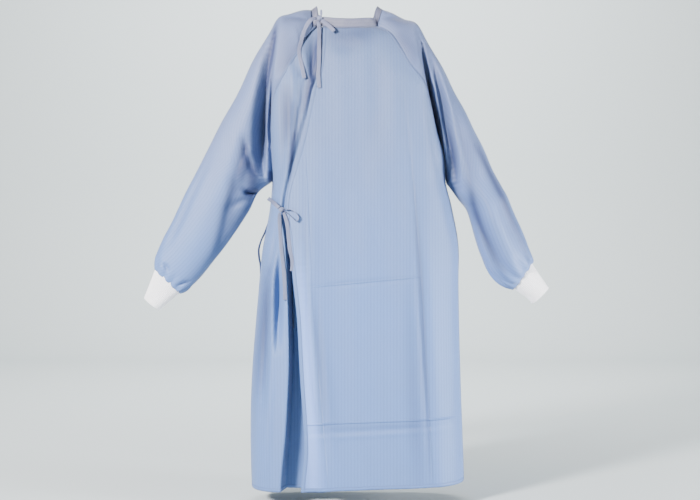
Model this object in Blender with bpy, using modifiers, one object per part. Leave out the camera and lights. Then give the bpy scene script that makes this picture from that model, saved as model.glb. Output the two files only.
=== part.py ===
"""Surgical gown with a wrap-over back, hollow and filled out with no wearer.

The wearer's back faces -Y, the front faces +Y, +X is the wearer's right side and +Z is up.
The origin is the middle of the neck opening at shoulder height. All sizes are in metres.
"""

import math

import bmesh
import bpy
import numpy as np

# Cloth, tape and seams
CLOTH = 0.0016
CUFF_CLOTH = 0.0024
TAPE_CLOTH = 0.0010
TAPE_WIDTH = 0.0095
SEAM_GAP = 0.0003
LAP = CLOTH + SEAM_GAP + 0.0002
SEAM_PULL = 0.0003
NECK_CORNER_PULL = 0.0005

# Neckline, and the neckband that stands on it and is lower beside the shoulders
BACK_NECK_DIP = 0.010
FRONT_NECK_DIP = 0.036
NECK_DIP_FADE = 0.6
BAND_HEIGHT = 0.024
BAND_SIDE_LOSS = 0.35
BAND_SIDE_REACH = 0.045
BAND_LEAN = 1.1
BAND_SQUARE = 0.6
BAND_EASE_REACH = 0.045
BAND_TOP_EASE_REACH = 0.028
BAND_LIFT = 0.0012
BAND_INSET = 0.0008

# How far the inner back panel runs on under the outer one
UNDERLAP_WRAP = 0.085

# Fold of the sleeve beside the armhole seam, and the rows that are moved out past the body's edge
ARMHOLE_FOLD_REACH = 0.015
FOLD_SHARE = 0.45
TUCK_START = 3
TUCK_END = 9.2
SLEEVE_BUNCH = 0.6

# Side loop
SIDE_LOOP_TOP = -0.545
SIDE_LOOP_LOW = -0.675
SIDE_LOOP_BOW = 0.012
SIDE_LOOP_POINTS = 7

# Columns and rows of the cloth grids
FRONT_COLUMNS = 22
OVERLAP_COLUMNS = 22
UNDERLAP_COLUMNS = (9, 4, 3)
SLEEVE_COLUMNS = 24
ROW_STEP = 0.5
CUFF_COLUMNS = 22
CUFF_ROWS = 3
TAPE_STEPS = 14
KNOT_SEGMENTS = 12
KNOT_RINGS = 8

# The row of the tables at the underarm, where the raglan seams end
UNDERARM = 8

# Colours
PALE_BLUE = (0.44, 0.53, 0.69)
WHITE_KNIT = (0.88, 0.87, 0.90)
LILAC = (0.50, 0.50, 0.64)


def table(names, rows):
    """A table of sizes as one array for each named column."""
    values = np.array(rows, dtype=float)
    return {name: values[:, place] for place, name in enumerate(names.split())}


# Sections of the body from neckline to hem. The first nine end on the raglan seams and the rest
# on the side seams. seam_y is the depth of the seam, back_y and front_y the depth at the middle.
BODY = table(
    "left_x left_z right_x right_z seam_y back_y front_y squareness roll",
    [
        (-0.086, -0.037, 0.079, -0.040, 0.032, 0.068, 0.068, 2.2, 0.60),
        (-0.111, -0.078, 0.112, -0.062, 0.058, 0.080, 0.082, 2.6, 0.90),
        (-0.126, -0.108, 0.140, -0.105, 0.076, 0.090, 0.092, 3.0, 1.00),
        (-0.151, -0.151, 0.165, -0.147, 0.085, 0.097, 0.100, 4.0, 1.00),
        (-0.172, -0.191, 0.196, -0.187, 0.082, 0.101, 0.105, 6.0, 0.70),
        (-0.187, -0.235, 0.210, -0.235, 0.066, 0.103, 0.108, 6.0, 0.50),
        (-0.192, -0.302, 0.226, -0.302, 0.050, 0.105, 0.110, 6.0, 0.50),
        (-0.191, -0.370, 0.246, -0.368, 0.030, 0.106, 0.110, 6.0, 0.50),
        (-0.190, -0.434, 0.257, -0.442, 0.000, 0.106, 0.110, 6.0, 0.50),
        (-0.196, -0.504, 0.273, -0.504, 0.000, 0.106, 0.108, 6.0, 0.50),
        (-0.214, -0.600, 0.289, -0.600, 0.000, 0.108, 0.108, 6.0, 0.50),
        (-0.225, -0.700, 0.288, -0.700, 0.000, 0.109, 0.110, 6.0, 0.50),
        (-0.236, -0.825, 0.290, -0.825, 0.000, 0.110, 0.112, 6.0, 0.50),
        (-0.245, -0.960, 0.294, -0.960, 0.000, 0.112, 0.114, 6.0, 0.50),
        (-0.249, -1.100, 0.299, -1.095, 0.000, 0.114, 0.116, 6.0, 0.50),
        (-0.245, -1.226, 0.301, -1.208, 0.000, 0.115, 0.118, 6.0, 0.50),
    ],
)

# Free edge of the outer back panel
FREE_EDGE = table(
    "z x",
    [
        (-0.048, -0.062),
        (-0.155, -0.069),
        (-0.213, -0.088),
        (-0.322, -0.110),
        (-0.395, -0.130),
        (-0.495, -0.154),
        (-0.586, -0.146),
        (-0.663, -0.138),
        (-0.785, -0.125),
        (-0.931, -0.117),
        (-1.110, -0.106),
        (-1.219, -0.115),
    ],
)

# Where the inner back panel turns inwards, how far, and how wide the turn is
UNDERLAP_TURN = table(
    "z x inwards width",
    [
        (-0.048, -0.078, 0.006, 0.012),
        (-0.155, -0.086, 0.006, 0.014),
        (-0.322, -0.127, 0.008, 0.015),
        (-0.495, -0.168, 0.012, 0.012),
        (-0.600, -0.158, 0.025, 0.010),
        (-0.700, -0.152, 0.045, 0.011),
        (-0.900, -0.149, 0.052, 0.012),
        (-1.030, -0.156, 0.056, 0.014),
        (-1.220, -0.170, 0.062, 0.018),
    ],
)

# Folds down the inner back panel, inwards where depth is above nought
UNDERLAP_FOLDS = table(
    "top_x top_z low_x low_z width depth",
    [
        (-0.168, -0.600, -0.176, -0.880, 0.010, 0.030),
        (-0.196, -0.740, -0.215, -1.060, 0.012, 0.010),
    ],
)

# Sections of the sleeves from neckline to cuff: the outer edge, the depth, the angle at which the
# section is open and the depth of the fold beside the armhole seam. The first nine run from the
# raglan seams of the body and the rest from the underside.
SLEEVE_NAMES = "outer_x outer_z depth opening fold"
SLEEVE_RIGHT = table(
    SLEEVE_NAMES,
    [
        (0.0930, 0.010, 0.032, 95, 0.000),
        (0.118, 0.002, 0.061, 108, 0.000),
        (0.150, -0.014, 0.079, 108, 0.000),
        (0.180, -0.027, 0.087, 102, 0.000),
        (0.205, -0.070, 0.083, 80, 0.006),
        (0.240, -0.130, 0.078, 58, 0.022),
        (0.286, -0.218, 0.072, 44, 0.024),
        (0.335, -0.313, 0.068, 28, 0.000),
        (0.380, -0.410, 0.066, 0, 0.000),
        (0.402, -0.450, 0.066, 0, 0.000),
        (0.419, -0.479, 0.066, 0, 0.000),
        (0.442, -0.533, 0.064, 0, 0.000),
        (0.466, -0.591, 0.060, 0, 0.000),
        (0.477, -0.620, 0.054, 0, 0.000),
        (0.485, -0.643, 0.044, 0, 0.000),
        (0.478, -0.648, 0.027, 0, 0.000),
    ],
)
SLEEVE_LEFT = table(
    SLEEVE_NAMES,
    [
        (-0.0915, 0.010, 0.032, 95, 0.000),
        (-0.115, 0.008, 0.061, 108, 0.000),
        (-0.147, -0.002, 0.079, 108, 0.000),
        (-0.177, -0.011, 0.087, 102, 0.000),
        (-0.198, -0.046, 0.083, 80, 0.006),
        (-0.231, -0.105, 0.078, 58, 0.022),
        (-0.278, -0.201, 0.072, 44, 0.026),
        (-0.322, -0.284, 0.068, 26, 0.008),
        (-0.362, -0.358, 0.062, 0, 0.000),
        (-0.392, -0.416, 0.058, 0, 0.000),
        (-0.415, -0.461, 0.054, 0, 0.000),
        (-0.437, -0.505, 0.050, 0, 0.000),
        (-0.458, -0.547, 0.048, 0, 0.000),
        (-0.476, -0.582, 0.044, 0, 0.000),
        (-0.494, -0.630, 0.038, 0, 0.000),
        (-0.497, -0.664, 0.027, 0, 0.000),
    ],
)

# Underside of the sleeves from the underarm to the cuff
UNDERSIDE_RIGHT = table(
    "x z",
    [
        (0.257, -0.442),
        (0.287, -0.478),
        (0.312, -0.513),
        (0.330, -0.572),
        (0.349, -0.630),
        (0.369, -0.674),
        (0.400, -0.703),
        (0.438, -0.716),
    ],
)
UNDERSIDE_LEFT = table(
    "x z",
    [
        (-0.190, -0.434),
        (-0.232, -0.463),
        (-0.257, -0.515),
        (-0.296, -0.575),
        (-0.333, -0.624),
        (-0.377, -0.680),
        (-0.411, -0.713),
        (-0.435, -0.724),
    ],
)

# Knitted cuffs from the sleeve to the free end
CUFF_NAMES = "under_x under_z outer_x outer_z depth"
CUFF_RIGHT = table(
    CUFF_NAMES,
    [
        (0.4393, -0.7173, 0.4793, -0.6493, 0.0265),
        (0.4650, -0.7350, 0.5010, -0.6810, 0.0235),
        (0.4830, -0.7530, 0.5230, -0.7130, 0.0230),
    ],
)
CUFF_LEFT = table(
    CUFF_NAMES,
    [
        (-0.4354, -0.7249, -0.4974, -0.6649, 0.0265),
        (-0.4570, -0.7420, -0.5110, -0.7010, 0.0235),
        (-0.4880, -0.7700, -0.5260, -0.7390, 0.0230),
    ],
)

# Knots: x, z, distance in front of the cloth, and radii
NECK_KNOT = (-0.0695, -0.022, 0.0062)
NECK_KNOT_RADII = (0.0075, 0.0055, 0.0072)
WAIST_KNOT = (-0.165, -0.512, 0.0064)
WAIST_KNOT_RADII = (0.0075, 0.0055, 0.0068)

# Routes of the tapes as x, z and distance in front of the cloth, after the end at the knot
NECK_TIE_LONG = [
    (-0.092, -0.029, 0.032),
    (-0.107, -0.052, 0.014),
    (-0.116, -0.084, 0.004),
    (-0.121, -0.112, 0.002),
    (-0.114, -0.147, 0.0018),
    (-0.107, -0.181, 0.0018),
]
NECK_TIE_SHORT = [
    (-0.0705, -0.055, 0.004),
    (-0.070, -0.090, 0.0024),
    (-0.070, -0.137, 0.0018),
    (-0.072, -0.173, 0.0018),
    (-0.069, -0.206, 0.0018),
]
NECK_LOOP = [
    (-0.047, -0.043, 0.0035),
    (-0.036, -0.055, 0.005),
    (-0.032, -0.060, 0.009),
    (-0.036, -0.055, 0.013),
    (-0.047, -0.043, 0.0135),
]
WAIST_TIE_LONG = [
    (-0.170, -0.545, 0.003),
    (-0.165, -0.609, 0.002),
    (-0.158, -0.674, 0.002),
    (-0.155, -0.740, 0.002),
]
WAIST_TIE_SHORT = [
    (-0.151, -0.545, 0.004),
    (-0.147, -0.579, 0.0018),
    (-0.143, -0.613, 0.0018),
    (-0.137, -0.642, 0.0018),
    (-0.138, -0.667, 0.0018),
]
WAIST_LOOP_RIGHT = [
    (-0.142, -0.513, 0.0070),
    (-0.128, -0.521, 0.0070),
    (-0.121, -0.532, 0.0070),
    (-0.127, -0.541, 0.0070),
    (-0.139, -0.531, 0.0070),
]
WAIST_LOOP_LEFT = [
    (-0.186, -0.494, 0.008),
    (-0.199, -0.484, 0.022),
    (-0.203, -0.481, 0.028),
    (-0.199, -0.484, 0.034),
    (-0.186, -0.494, 0.020),
]

# Where the ends of each tape meet the knot, measured from its centre, and the direction of the
# width of those tapes that don't lie with their face to the back
KNOT_ENDS = {
    "neck_tie_long": [(-0.0079, 0.0, -0.001)],
    "neck_tie_short": [(-0.0042, 0.0, -0.0082)],
    "neck_loop": [(0.0053, -0.0010, -0.0060), (0.0053, -0.0050, -0.0060)],
    "waist_tie_long": [(-0.0045, 0.0, -0.0074)],
    "waist_tie_short": [(0.0056, -0.003, -0.0074)],
    "waist_loop_right": [(0.0074, -0.0075, 0.001), (0.0070, -0.0075, -0.003)],
    "waist_loop_left": [(-0.0062, 0.0006, 0.0049), (-0.0062, -0.0036, 0.0049)],
}
WIDTH_WAYS = {
    "neck_loop": (0.75, 0.0, 0.66),
    "waist_loop_right": (0.0, 1.0, 0.0),
    "waist_loop_left": (0.62, 0.0, 0.78),
}


def read(sizes, name, place):
    """A column of a table at row positions, on a smooth curve through its rows."""
    rows = sizes[name]
    place = np.clip(np.asarray(place, dtype=float), 0, len(rows) - 1)
    low = np.minimum(place.astype(int), len(rows) - 2)
    step = place - low
    before = rows[np.maximum(low - 1, 0)]
    start = rows[low]
    end = rows[low + 1]
    after = rows[np.minimum(low + 2, len(rows) - 1)]
    rise = (end - before) / 2
    fall = (after - start) / 2
    cube = step**3
    square = step**2
    return (
        start * (2 * cube - 3 * square + 1)
        + rise * (cube - 2 * square + step)
        + end * (3 * square - 2 * cube)
        + fall * (cube - square)
    )


def at_height(sizes, name, z):
    """A column of a table at heights, for tables that run down from their first row."""
    return read(sizes, name, np.interp(-np.asarray(z), -sizes["z"], np.arange(len(sizes["z"]))))


def body_row(place):
    """Middle and half width of the body's section at a row position."""
    left = read(BODY, "left_x", place)
    right = read(BODY, "right_x", place)
    return (left + right) / 2, (right - left) / 2


def body_point(place, across, side):
    """A point of the body: across runs from -1 at the left seam to 1 at the right seam."""
    middle, half = body_row(place)
    left_z = read(BODY, "left_z", place)
    right_z = read(BODY, "right_z", place)
    dip = (BACK_NECK_DIP if side < 0 else FRONT_NECK_DIP) * np.exp(-NECK_DIP_FADE * place)
    seam = np.maximum(read(BODY, "seam_y", place), 0)
    depth = read(BODY, "back_y" if side < 0 else "front_y", place)
    square = read(BODY, "squareness", place)
    roll = read(BODY, "roll", place)
    bow = np.clip(1 - np.abs(across) ** square, 0, 1) ** roll
    x = middle + half * across
    y = side * (seam + (depth - seam) * bow)
    z = left_z + (right_z - left_z) * (across + 1) / 2 - dip * (1 - across**2)
    return np.stack([x, y, z], axis=-1)


def body_height(place):
    """Height of the middle of the body's back at a row position."""
    return body_point(place, np.zeros_like(place), -1)[..., 2]


def across_of(place, x):
    """The across value of a sideways position at a row position."""
    middle, half = body_row(place)
    return np.clip((x - middle) / half, -1, 1)


def row_of(z):
    """The row position of the body at a height."""
    places = np.linspace(0, len(BODY["left_x"]) - 1, 200)
    return np.interp(-z, -body_height(places), places)


def bunched(place, step):
    """Steps that bunch towards -1 and 1, where the cloth rolls round at its seam."""
    roll = np.clip(2 - 2 * read(BODY, "roll", place), 0, 1)
    return step + (np.sin(step * math.pi / 2) - step) * roll


def rows_of(sizes, name):
    """Row positions of a grid, the same on both sides of a seam."""
    return np.arange(0, len(sizes[name]) - 1 + ROW_STEP / 2, ROW_STEP)


def grid_of(places, columns):
    """Row positions and column values as two arrays of the grid's shape."""
    return np.meshgrid(places, columns, indexing="ij")


def front_grid():
    """Points of the front panel."""
    places = rows_of(BODY, "left_x")
    place, column = grid_of(places, np.linspace(-1, 1, FRONT_COLUMNS + 1))
    return body_point(place, bunched(place, column), 1)


def overlap_grid():
    """Points of the outer back panel, from its free edge to the right seam."""
    places = rows_of(BODY, "left_x")
    place, column = grid_of(places, np.linspace(0, 1, OVERLAP_COLUMNS + 1))
    free = across_of(place, at_height(FREE_EDGE, "x", body_height(place)))
    return body_point(place, free + (1 - free) * bunched(place, column), -1)


def underlap_depth(points):
    """How far the inner back panel lies inside the line of the back at its points."""
    x = points[..., 0]
    z = points[..., 2]
    turn = at_height(UNDERLAP_TURN, "x", z)
    width = at_height(UNDERLAP_TURN, "width", z)
    step = np.clip((x - turn) / width, 0, 1)
    inwards = at_height(UNDERLAP_TURN, "inwards", z) * step**2 * (3 - 2 * step)
    for number in range(len(UNDERLAP_FOLDS["depth"])):
        fold = {name: column[number] for name, column in UNDERLAP_FOLDS.items()}
        run = np.clip((z - fold["top_z"]) / (fold["low_z"] - fold["top_z"]), 0, 1)
        middle = fold["top_x"] + (fold["low_x"] - fold["top_x"]) * run
        swell = np.sin(run * math.pi)
        inwards = inwards + fold["depth"] * swell * np.exp(-(((x - middle) / fold["width"]) ** 2))
    return inwards


def underlap_grid():
    """Points of the inner back panel, from the left seam to its hidden edge."""
    places = rows_of(BODY, "left_x")
    place = grid_of(places, [0.0])[0]
    z = body_height(place)
    turn_x = at_height(UNDERLAP_TURN, "x", z)
    turn_end = turn_x + at_height(UNDERLAP_TURN, "width", z)
    hidden_x = np.maximum(at_height(FREE_EDGE, "x", z), turn_end) + UNDERLAP_WRAP
    rounded, turning, flat = UNDERLAP_COLUMNS
    start = across_of(place, turn_x)
    first = start - (start + 1) * bunched(place, np.linspace(1, 0, rounded + 1))
    second = across_of(place, turn_x + (turn_end - turn_x) * np.linspace(0, 1, turning + 1)[1:])
    third = across_of(place, turn_end + (hidden_x - turn_end) * np.linspace(0, 1, flat + 1)[1:])
    across = np.concatenate([first, second, third], axis=1)
    points = body_point(place + np.zeros_like(across), across, -1)
    points[..., 1] += underlap_depth(points)
    return points


def seam_end(side, place):
    """Where a sleeve section starts: on the raglan seam, or on the underside below the underarm."""
    underside = UNDERSIDE_LEFT if side == "left" else UNDERSIDE_RIGHT
    ends = []
    for axis in "xz":
        raglan = read(BODY, f"{side}_{axis}", place)
        ends.append(np.where(place <= UNDERARM, raglan, read(underside, axis, place - UNDERARM)))
    return np.stack(ends, axis=-1)


def sleeve_point(side, place, around):
    """A point of a sleeve: around runs from 0 at the back seam over the top to 1 at the front."""
    sizes = SLEEVE_LEFT if side == "left" else SLEEVE_RIGHT
    seam = seam_end(side, place)
    outer = np.stack([read(sizes, "outer_x", place), read(sizes, "outer_z", place)], axis=-1)
    width = np.linalg.norm(outer - seam, axis=-1)
    direction = (outer - seam) / width[..., None]
    opening = np.radians(np.maximum(read(sizes, "opening", place), 0))
    depth = read(sizes, "depth", place)
    fold = np.maximum(read(sizes, "fold", place), 0)
    angle = opening + (2 * math.pi - 2 * opening) * around
    half = width / (1 + np.cos(opening))
    reach = half * (np.cos(opening) - np.cos(angle))
    ratio = np.maximum(reach, 0) / ARMHOLE_FOLD_REACH
    dip = fold * ratio * np.exp(1 - ratio)
    dip = np.minimum(dip, FOLD_SHARE * np.abs(depth * np.sin(angle)))
    spare = np.maximum(read(BODY, "seam_y", np.minimum(place, UNDERARM)), 0)
    spare = spare - depth * np.sin(opening)
    y = -depth * np.sin(angle) + dip * np.where(around < 0.5, 1, -1)
    y = y - spare * np.cos(math.pi * around)
    flat = seam + direction * reach[..., None]
    return np.stack([flat[..., 0], y, flat[..., 1]], axis=-1)


def sleeve_grid(side):
    """Points of a sleeve with its columns bunched beside the seam."""
    places = rows_of(SLEEVE_LEFT, "depth")
    column = np.linspace(0, 1, SLEEVE_COLUMNS + 1)
    around = column - SLEEVE_BUNCH * np.sin(2 * math.pi * column) / (2 * math.pi)
    place, around = grid_of(places, around)
    points = sleeve_point(side, place, around)
    tucked = np.clip(place - TUCK_START, 0, 1) * np.clip(TUCK_END - place, 0, 1)
    points[..., 0] += (-LAP if side == "left" else LAP) * tucked
    return points, places


def cuff_grid(sizes):
    """Points of a knitted cuff, all round."""
    places = np.linspace(0, len(sizes["depth"]) - 1, CUFF_ROWS + 1)
    place, angle = grid_of(places, np.linspace(0, 2 * math.pi, CUFF_COLUMNS + 1))
    under = np.stack([read(sizes, "under_x", place), read(sizes, "under_z", place)], axis=-1)
    outer = np.stack([read(sizes, "outer_x", place), read(sizes, "outer_z", place)], axis=-1)
    flat = (under + outer) / 2 + (under - outer) / 2 * np.cos(angle)[..., None]
    y = -read(sizes, "depth", place) * np.sin(angle)
    return np.stack([flat[..., 0], y, flat[..., 1]], axis=-1)


def pulled_back(points, column, distance):
    """The grid with its first (0) or last (-1) column moved back, square to the seam."""
    edge = points[:, column]
    way = points[:, 1 if column == 0 else -2] - edge
    along = np.gradient(edge, axis=0)
    along /= np.linalg.norm(along, axis=1, keepdims=True)
    square = way - np.sum(way * along, axis=1, keepdims=True) * along
    moved = points.copy()
    moved[:, column] += way * (distance / np.linalg.norm(square, axis=1))[:, None]
    return moved


def material(name, colour, roughness):
    """A cloth material in one colour."""
    finish = bpy.data.materials.new(name)
    finish.use_nodes = True
    shader = finish.node_tree.nodes["Principled BSDF"]
    shader.inputs["Base Color"].default_value = (*colour, 1)
    shader.inputs["Roughness"].default_value = roughness
    shader.inputs["Metallic"].default_value = 0
    return finish


def cloth_piece(name, points, thickness, finish, outward, welded=False):
    """A cloth wall from a grid of points, turned so that its outer face looks outward."""
    rows, columns = points.shape[:2]
    cage = bmesh.new()
    corners = [[cage.verts.new(point) for point in row] for row in points]
    for row in range(rows - 1):
        for column in range(columns - 1):
            ring = (
                corners[row][column],
                corners[row][column + 1],
                corners[row + 1][column + 1],
                corners[row + 1][column],
            )
            cage.faces.new(ring if outward else ring[::-1])
    if welded:
        bmesh.ops.remove_doubles(cage, verts=cage.verts, dist=0.00001)
    mesh = bpy.data.meshes.new(name)
    cage.to_mesh(mesh)
    cage.free()
    mesh.shade_smooth()
    mesh.materials.append(finish)
    piece = bpy.data.objects.new(name, mesh)
    gown.objects.link(piece)
    wall = piece.modifiers.new("Wall", "SOLIDIFY")
    wall.thickness = thickness
    wall.offset = 0
    return piece


def seam_pull(places):
    """How far a panel's edge stops short of the raglan seam, more where the seam bends sharply."""
    return SEAM_PULL + NECK_CORNER_PULL * np.clip(3 - places, 0, 1) * np.where(places < 1, 1.6, 1)


def make_body():
    """Front panel and the two back panels."""
    cloth = material("body_cloth", PALE_BLUE, 0.75)
    pull = seam_pull(rows_of(BODY, "left_x"))
    front = pulled_back(pulled_back(front_grid(), 0, pull), -1, pull)
    cloth_piece("front_panel", front, CLOTH, cloth, True)
    cloth_piece("back_overlap", pulled_back(overlap_grid(), -1, pull), CLOTH, cloth, False)
    cloth_piece("back_underlap", pulled_back(underlap_grid(), 0, pull), CLOTH, cloth, False)


def make_sleeve(side):
    """A raglan sleeve, open along its armhole seams and closed below the underarm."""
    cloth = material(f"sleeve_{side}_cloth", PALE_BLUE, 0.75)
    points, places = sleeve_grid(side)
    open_rows = places < UNDERARM + 0.6
    pull = seam_pull(places)
    trimmed = pulled_back(pulled_back(points, 0, pull), -1, pull)
    points[open_rows] = trimmed[open_rows]
    cloth_piece(f"sleeve_{side}", points, CLOTH, cloth, side == "left", welded=True)


def make_cuff(name, sizes, outward):
    """A knitted cuff."""
    knit = material(name + "_knit", WHITE_KNIT, 0.9)
    cloth_piece(name, cuff_grid(sizes), CUFF_CLOTH, knit, outward, welded=True)


def neck_path():
    """Points along the neck seam, from the outer free edge right round to the inner hidden edge."""
    right = sleeve_grid("right")[0][0]
    left = sleeve_grid("left")[0][0]
    stretches = [
        overlap_grid()[0],
        right[1:],
        front_grid()[0][::-1][1:],
        left[::-1][1:],
        underlap_grid()[0][1:],
    ]
    path = np.concatenate(stretches)
    return np.concatenate([path[:-1:2], path[-1:]])


def eased(values, length, reach):
    """Values along a line, each averaged with its neighbours within a reach that ends at its ends."""
    reach = np.minimum(reach, np.minimum(length, length[-1] - length)) + 0.0001
    apart = np.abs(length[:, None] - length)
    share = np.clip(1 - apart / reach[:, None], 0, 1) * np.gradient(length)
    return share @ values / share.sum(axis=1, keepdims=True)


def make_neckband():
    """The folded strip that stands on the neck seam and leans in over the shoulders."""
    path = neck_path()
    length = np.concatenate([[0], np.cumsum(np.linalg.norm(np.diff(path, axis=0), axis=1))])
    along = np.gradient(path, axis=0)
    along /= np.linalg.norm(along, axis=1, keepdims=True)
    beside = np.clip(1 - np.abs(path[:, 1]) / BAND_SIDE_REACH, 0, 1)
    up = np.zeros_like(path)
    up[:, 0] = -np.sign(path[:, 0]) * BAND_LEAN * beside
    up[:, 2] = 1
    square = up - np.sum(up * along, axis=1, keepdims=True) * along
    square /= np.linalg.norm(square, axis=1, keepdims=True)
    up = eased(up + (square - up) * BAND_SQUARE, length, BAND_EASE_REACH)
    up /= np.linalg.norm(up, axis=1, keepdims=True)
    foot = path + square * BAND_LIFT
    foot[:, 0] -= np.sign(path[:, 0]) * BAND_INSET * np.clip(beside * 3, 0, 1)
    height = BAND_HEIGHT * (1 - BAND_SIDE_LOSS * beside)
    top = eased(foot + up * height[:, None], length, BAND_TOP_EASE_REACH)
    rows = [foot + (top - foot) * step for step in (0, 0.5, 1)]
    finish = material("neckband_cloth", LILAC, 0.75)
    cloth_piece("neckband", np.array(rows), CLOTH, finish, True)


def outer_surface():
    """A dense set of points of the back and of both sleeves' back halves."""
    place, across = grid_of(np.linspace(0, len(BODY["roll"]) - 1, 300), np.linspace(-1, 1, 200))
    sets = [body_point(place, across, -1).reshape(-1, 3)]
    place, around = grid_of(np.linspace(0, UNDERARM, 160), np.linspace(0, 0.5, 60))
    sets += [sleeve_point(side, place, around).reshape(-1, 3) for side in ("left", "right")]
    return np.concatenate(sets)


def laid_on(surface, route):
    """Route points of x, z and distance in front of the cloth, as points in space."""
    points = []
    for x, z, stand in route:
        apart = np.hypot(surface[:, 0] - x, surface[:, 2] - z)
        near = surface[apart < max(0.006, apart.min() + 0.002)]
        points.append((x, near[:, 1].min() - stand, z))
    return np.array(points)


def smooth_path(points, steps):
    """Points at even steps on a smooth curve through a route's own points."""
    sizes = {axis: points[:, place] for place, axis in enumerate("xyz")}
    fine = np.linspace(0, len(points) - 1, 200)
    curve = np.stack([read(sizes, axis, fine) for axis in "xyz"], axis=-1)
    length = np.concatenate([[0], np.cumsum(np.linalg.norm(np.diff(curve, axis=0), axis=1))])
    even = np.linspace(0, length[-1], steps)
    return np.stack([np.interp(even, length, curve[:, axis]) for axis in range(3)], axis=-1)


def make_tape(name, points, steps, finish, width_way=None):
    """A flat tape along a route, its face to the viewer unless its width has a set direction."""
    path = smooth_path(points, steps)
    side = np.cross(np.gradient(path, axis=0), (0, -1, 0))
    if width_way is not None:
        side = np.zeros_like(path) + width_way
    side /= np.linalg.norm(side, axis=1, keepdims=True)
    edges = [path - side * TAPE_WIDTH / 2, path, path + side * TAPE_WIDTH / 2]
    cloth_piece(name, np.array(edges), TAPE_CLOTH, finish, True)


def make_knot(name, centre, radii, finish):
    """A tied knot as one rounded lump."""
    cage = bmesh.new()
    bmesh.ops.create_uvsphere(
        cage, u_segments=KNOT_SEGMENTS, v_segments=KNOT_RINGS, radius=1
    )
    bmesh.ops.scale(cage, vec=radii, verts=cage.verts)
    bmesh.ops.translate(cage, vec=centre, verts=cage.verts)
    mesh = bpy.data.meshes.new(name)
    cage.to_mesh(mesh)
    cage.free()
    mesh.shade_smooth()
    mesh.materials.append(finish)
    gown.objects.link(bpy.data.objects.new(name, mesh))


def make_side_loop(finish):
    """A short tape sewn to the left side at both ends and standing off between them."""
    heights = np.linspace(SIDE_LOOP_TOP, SIDE_LOOP_LOW, SIDE_LOOP_POINTS)
    run = np.linspace(0, 1, SIDE_LOOP_POINTS)
    edge = body_point(row_of(heights), -1, -1)
    clear = CLOTH / 2 + TAPE_CLOTH / 2 + SEAM_GAP
    bow = SIDE_LOOP_BOW * np.sin(run * math.pi) ** 2
    points = np.stack([edge[:, 0] - clear - bow, edge[:, 1] * 0 - 0.001, heights], axis=-1)
    make_tape("side_loop", points, TAPE_STEPS, finish, (0.0, 1.0, 0.0))


def make_ties():
    """Knots, bow loops and hanging ends at the neck and at the waist."""
    tape = material("tape_cloth", LILAC, 0.75)
    surface = outer_surface()
    neck = laid_on(surface, [NECK_KNOT])[0]
    waist = laid_on(surface, [WAIST_KNOT])[0]
    make_knot("neck_knot", neck, NECK_KNOT_RADII, tape)
    make_knot("waist_knot", waist, WAIST_KNOT_RADII, tape)
    routes = {
        "neck_tie_long": (neck, NECK_TIE_LONG),
        "neck_tie_short": (neck, NECK_TIE_SHORT),
        "neck_loop": (neck, NECK_LOOP),
        "waist_tie_long": (waist, WAIST_TIE_LONG),
        "waist_tie_short": (waist, WAIST_TIE_SHORT),
        "waist_loop_right": (waist, WAIST_LOOP_RIGHT),
        "waist_loop_left": (waist, WAIST_LOOP_LEFT),
    }
    for name, (knot, route) in routes.items():
        ends = [knot + np.array(end) for end in KNOT_ENDS[name]]
        points = np.array([ends[0], *laid_on(surface, route), *ends[1:]])
        make_tape(name, points, TAPE_STEPS, tape, WIDTH_WAYS.get(name))
    make_side_loop(tape)


for old in list(bpy.data.objects):
    bpy.data.objects.remove(old, do_unlink=True)
gown = bpy.data.collections.new("surgical_gown")
bpy.context.scene.collection.children.link(gown)
make_body()
make_neckband()
make_ties()
make_sleeve("right")
make_sleeve("left")
make_cuff("cuff_right", CUFF_RIGHT, False)
make_cuff("cuff_left", CUFF_LEFT, True)
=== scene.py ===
"""Looks of the surgical gown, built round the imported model."""

import math

import bmesh
import bpy
import numpy as np
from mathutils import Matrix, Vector


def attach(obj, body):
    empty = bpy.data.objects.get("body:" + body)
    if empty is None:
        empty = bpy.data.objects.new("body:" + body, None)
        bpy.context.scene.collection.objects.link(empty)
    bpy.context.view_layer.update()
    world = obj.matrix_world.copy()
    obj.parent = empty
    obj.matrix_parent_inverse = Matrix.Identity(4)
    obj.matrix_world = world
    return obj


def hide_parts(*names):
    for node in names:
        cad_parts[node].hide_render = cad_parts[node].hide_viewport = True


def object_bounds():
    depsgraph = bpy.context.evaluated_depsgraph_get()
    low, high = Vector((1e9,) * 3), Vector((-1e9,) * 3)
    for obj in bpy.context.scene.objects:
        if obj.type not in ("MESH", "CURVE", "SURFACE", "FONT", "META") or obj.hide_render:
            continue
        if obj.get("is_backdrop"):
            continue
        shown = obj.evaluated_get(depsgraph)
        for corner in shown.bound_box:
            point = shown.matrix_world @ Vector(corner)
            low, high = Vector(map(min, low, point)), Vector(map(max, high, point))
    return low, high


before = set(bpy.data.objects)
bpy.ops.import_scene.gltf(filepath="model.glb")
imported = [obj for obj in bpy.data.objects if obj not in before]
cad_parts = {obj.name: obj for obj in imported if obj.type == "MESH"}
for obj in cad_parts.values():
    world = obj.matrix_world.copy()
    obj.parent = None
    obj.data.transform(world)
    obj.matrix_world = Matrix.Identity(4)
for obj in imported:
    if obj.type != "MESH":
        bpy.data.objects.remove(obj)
cad_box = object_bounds()

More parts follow.
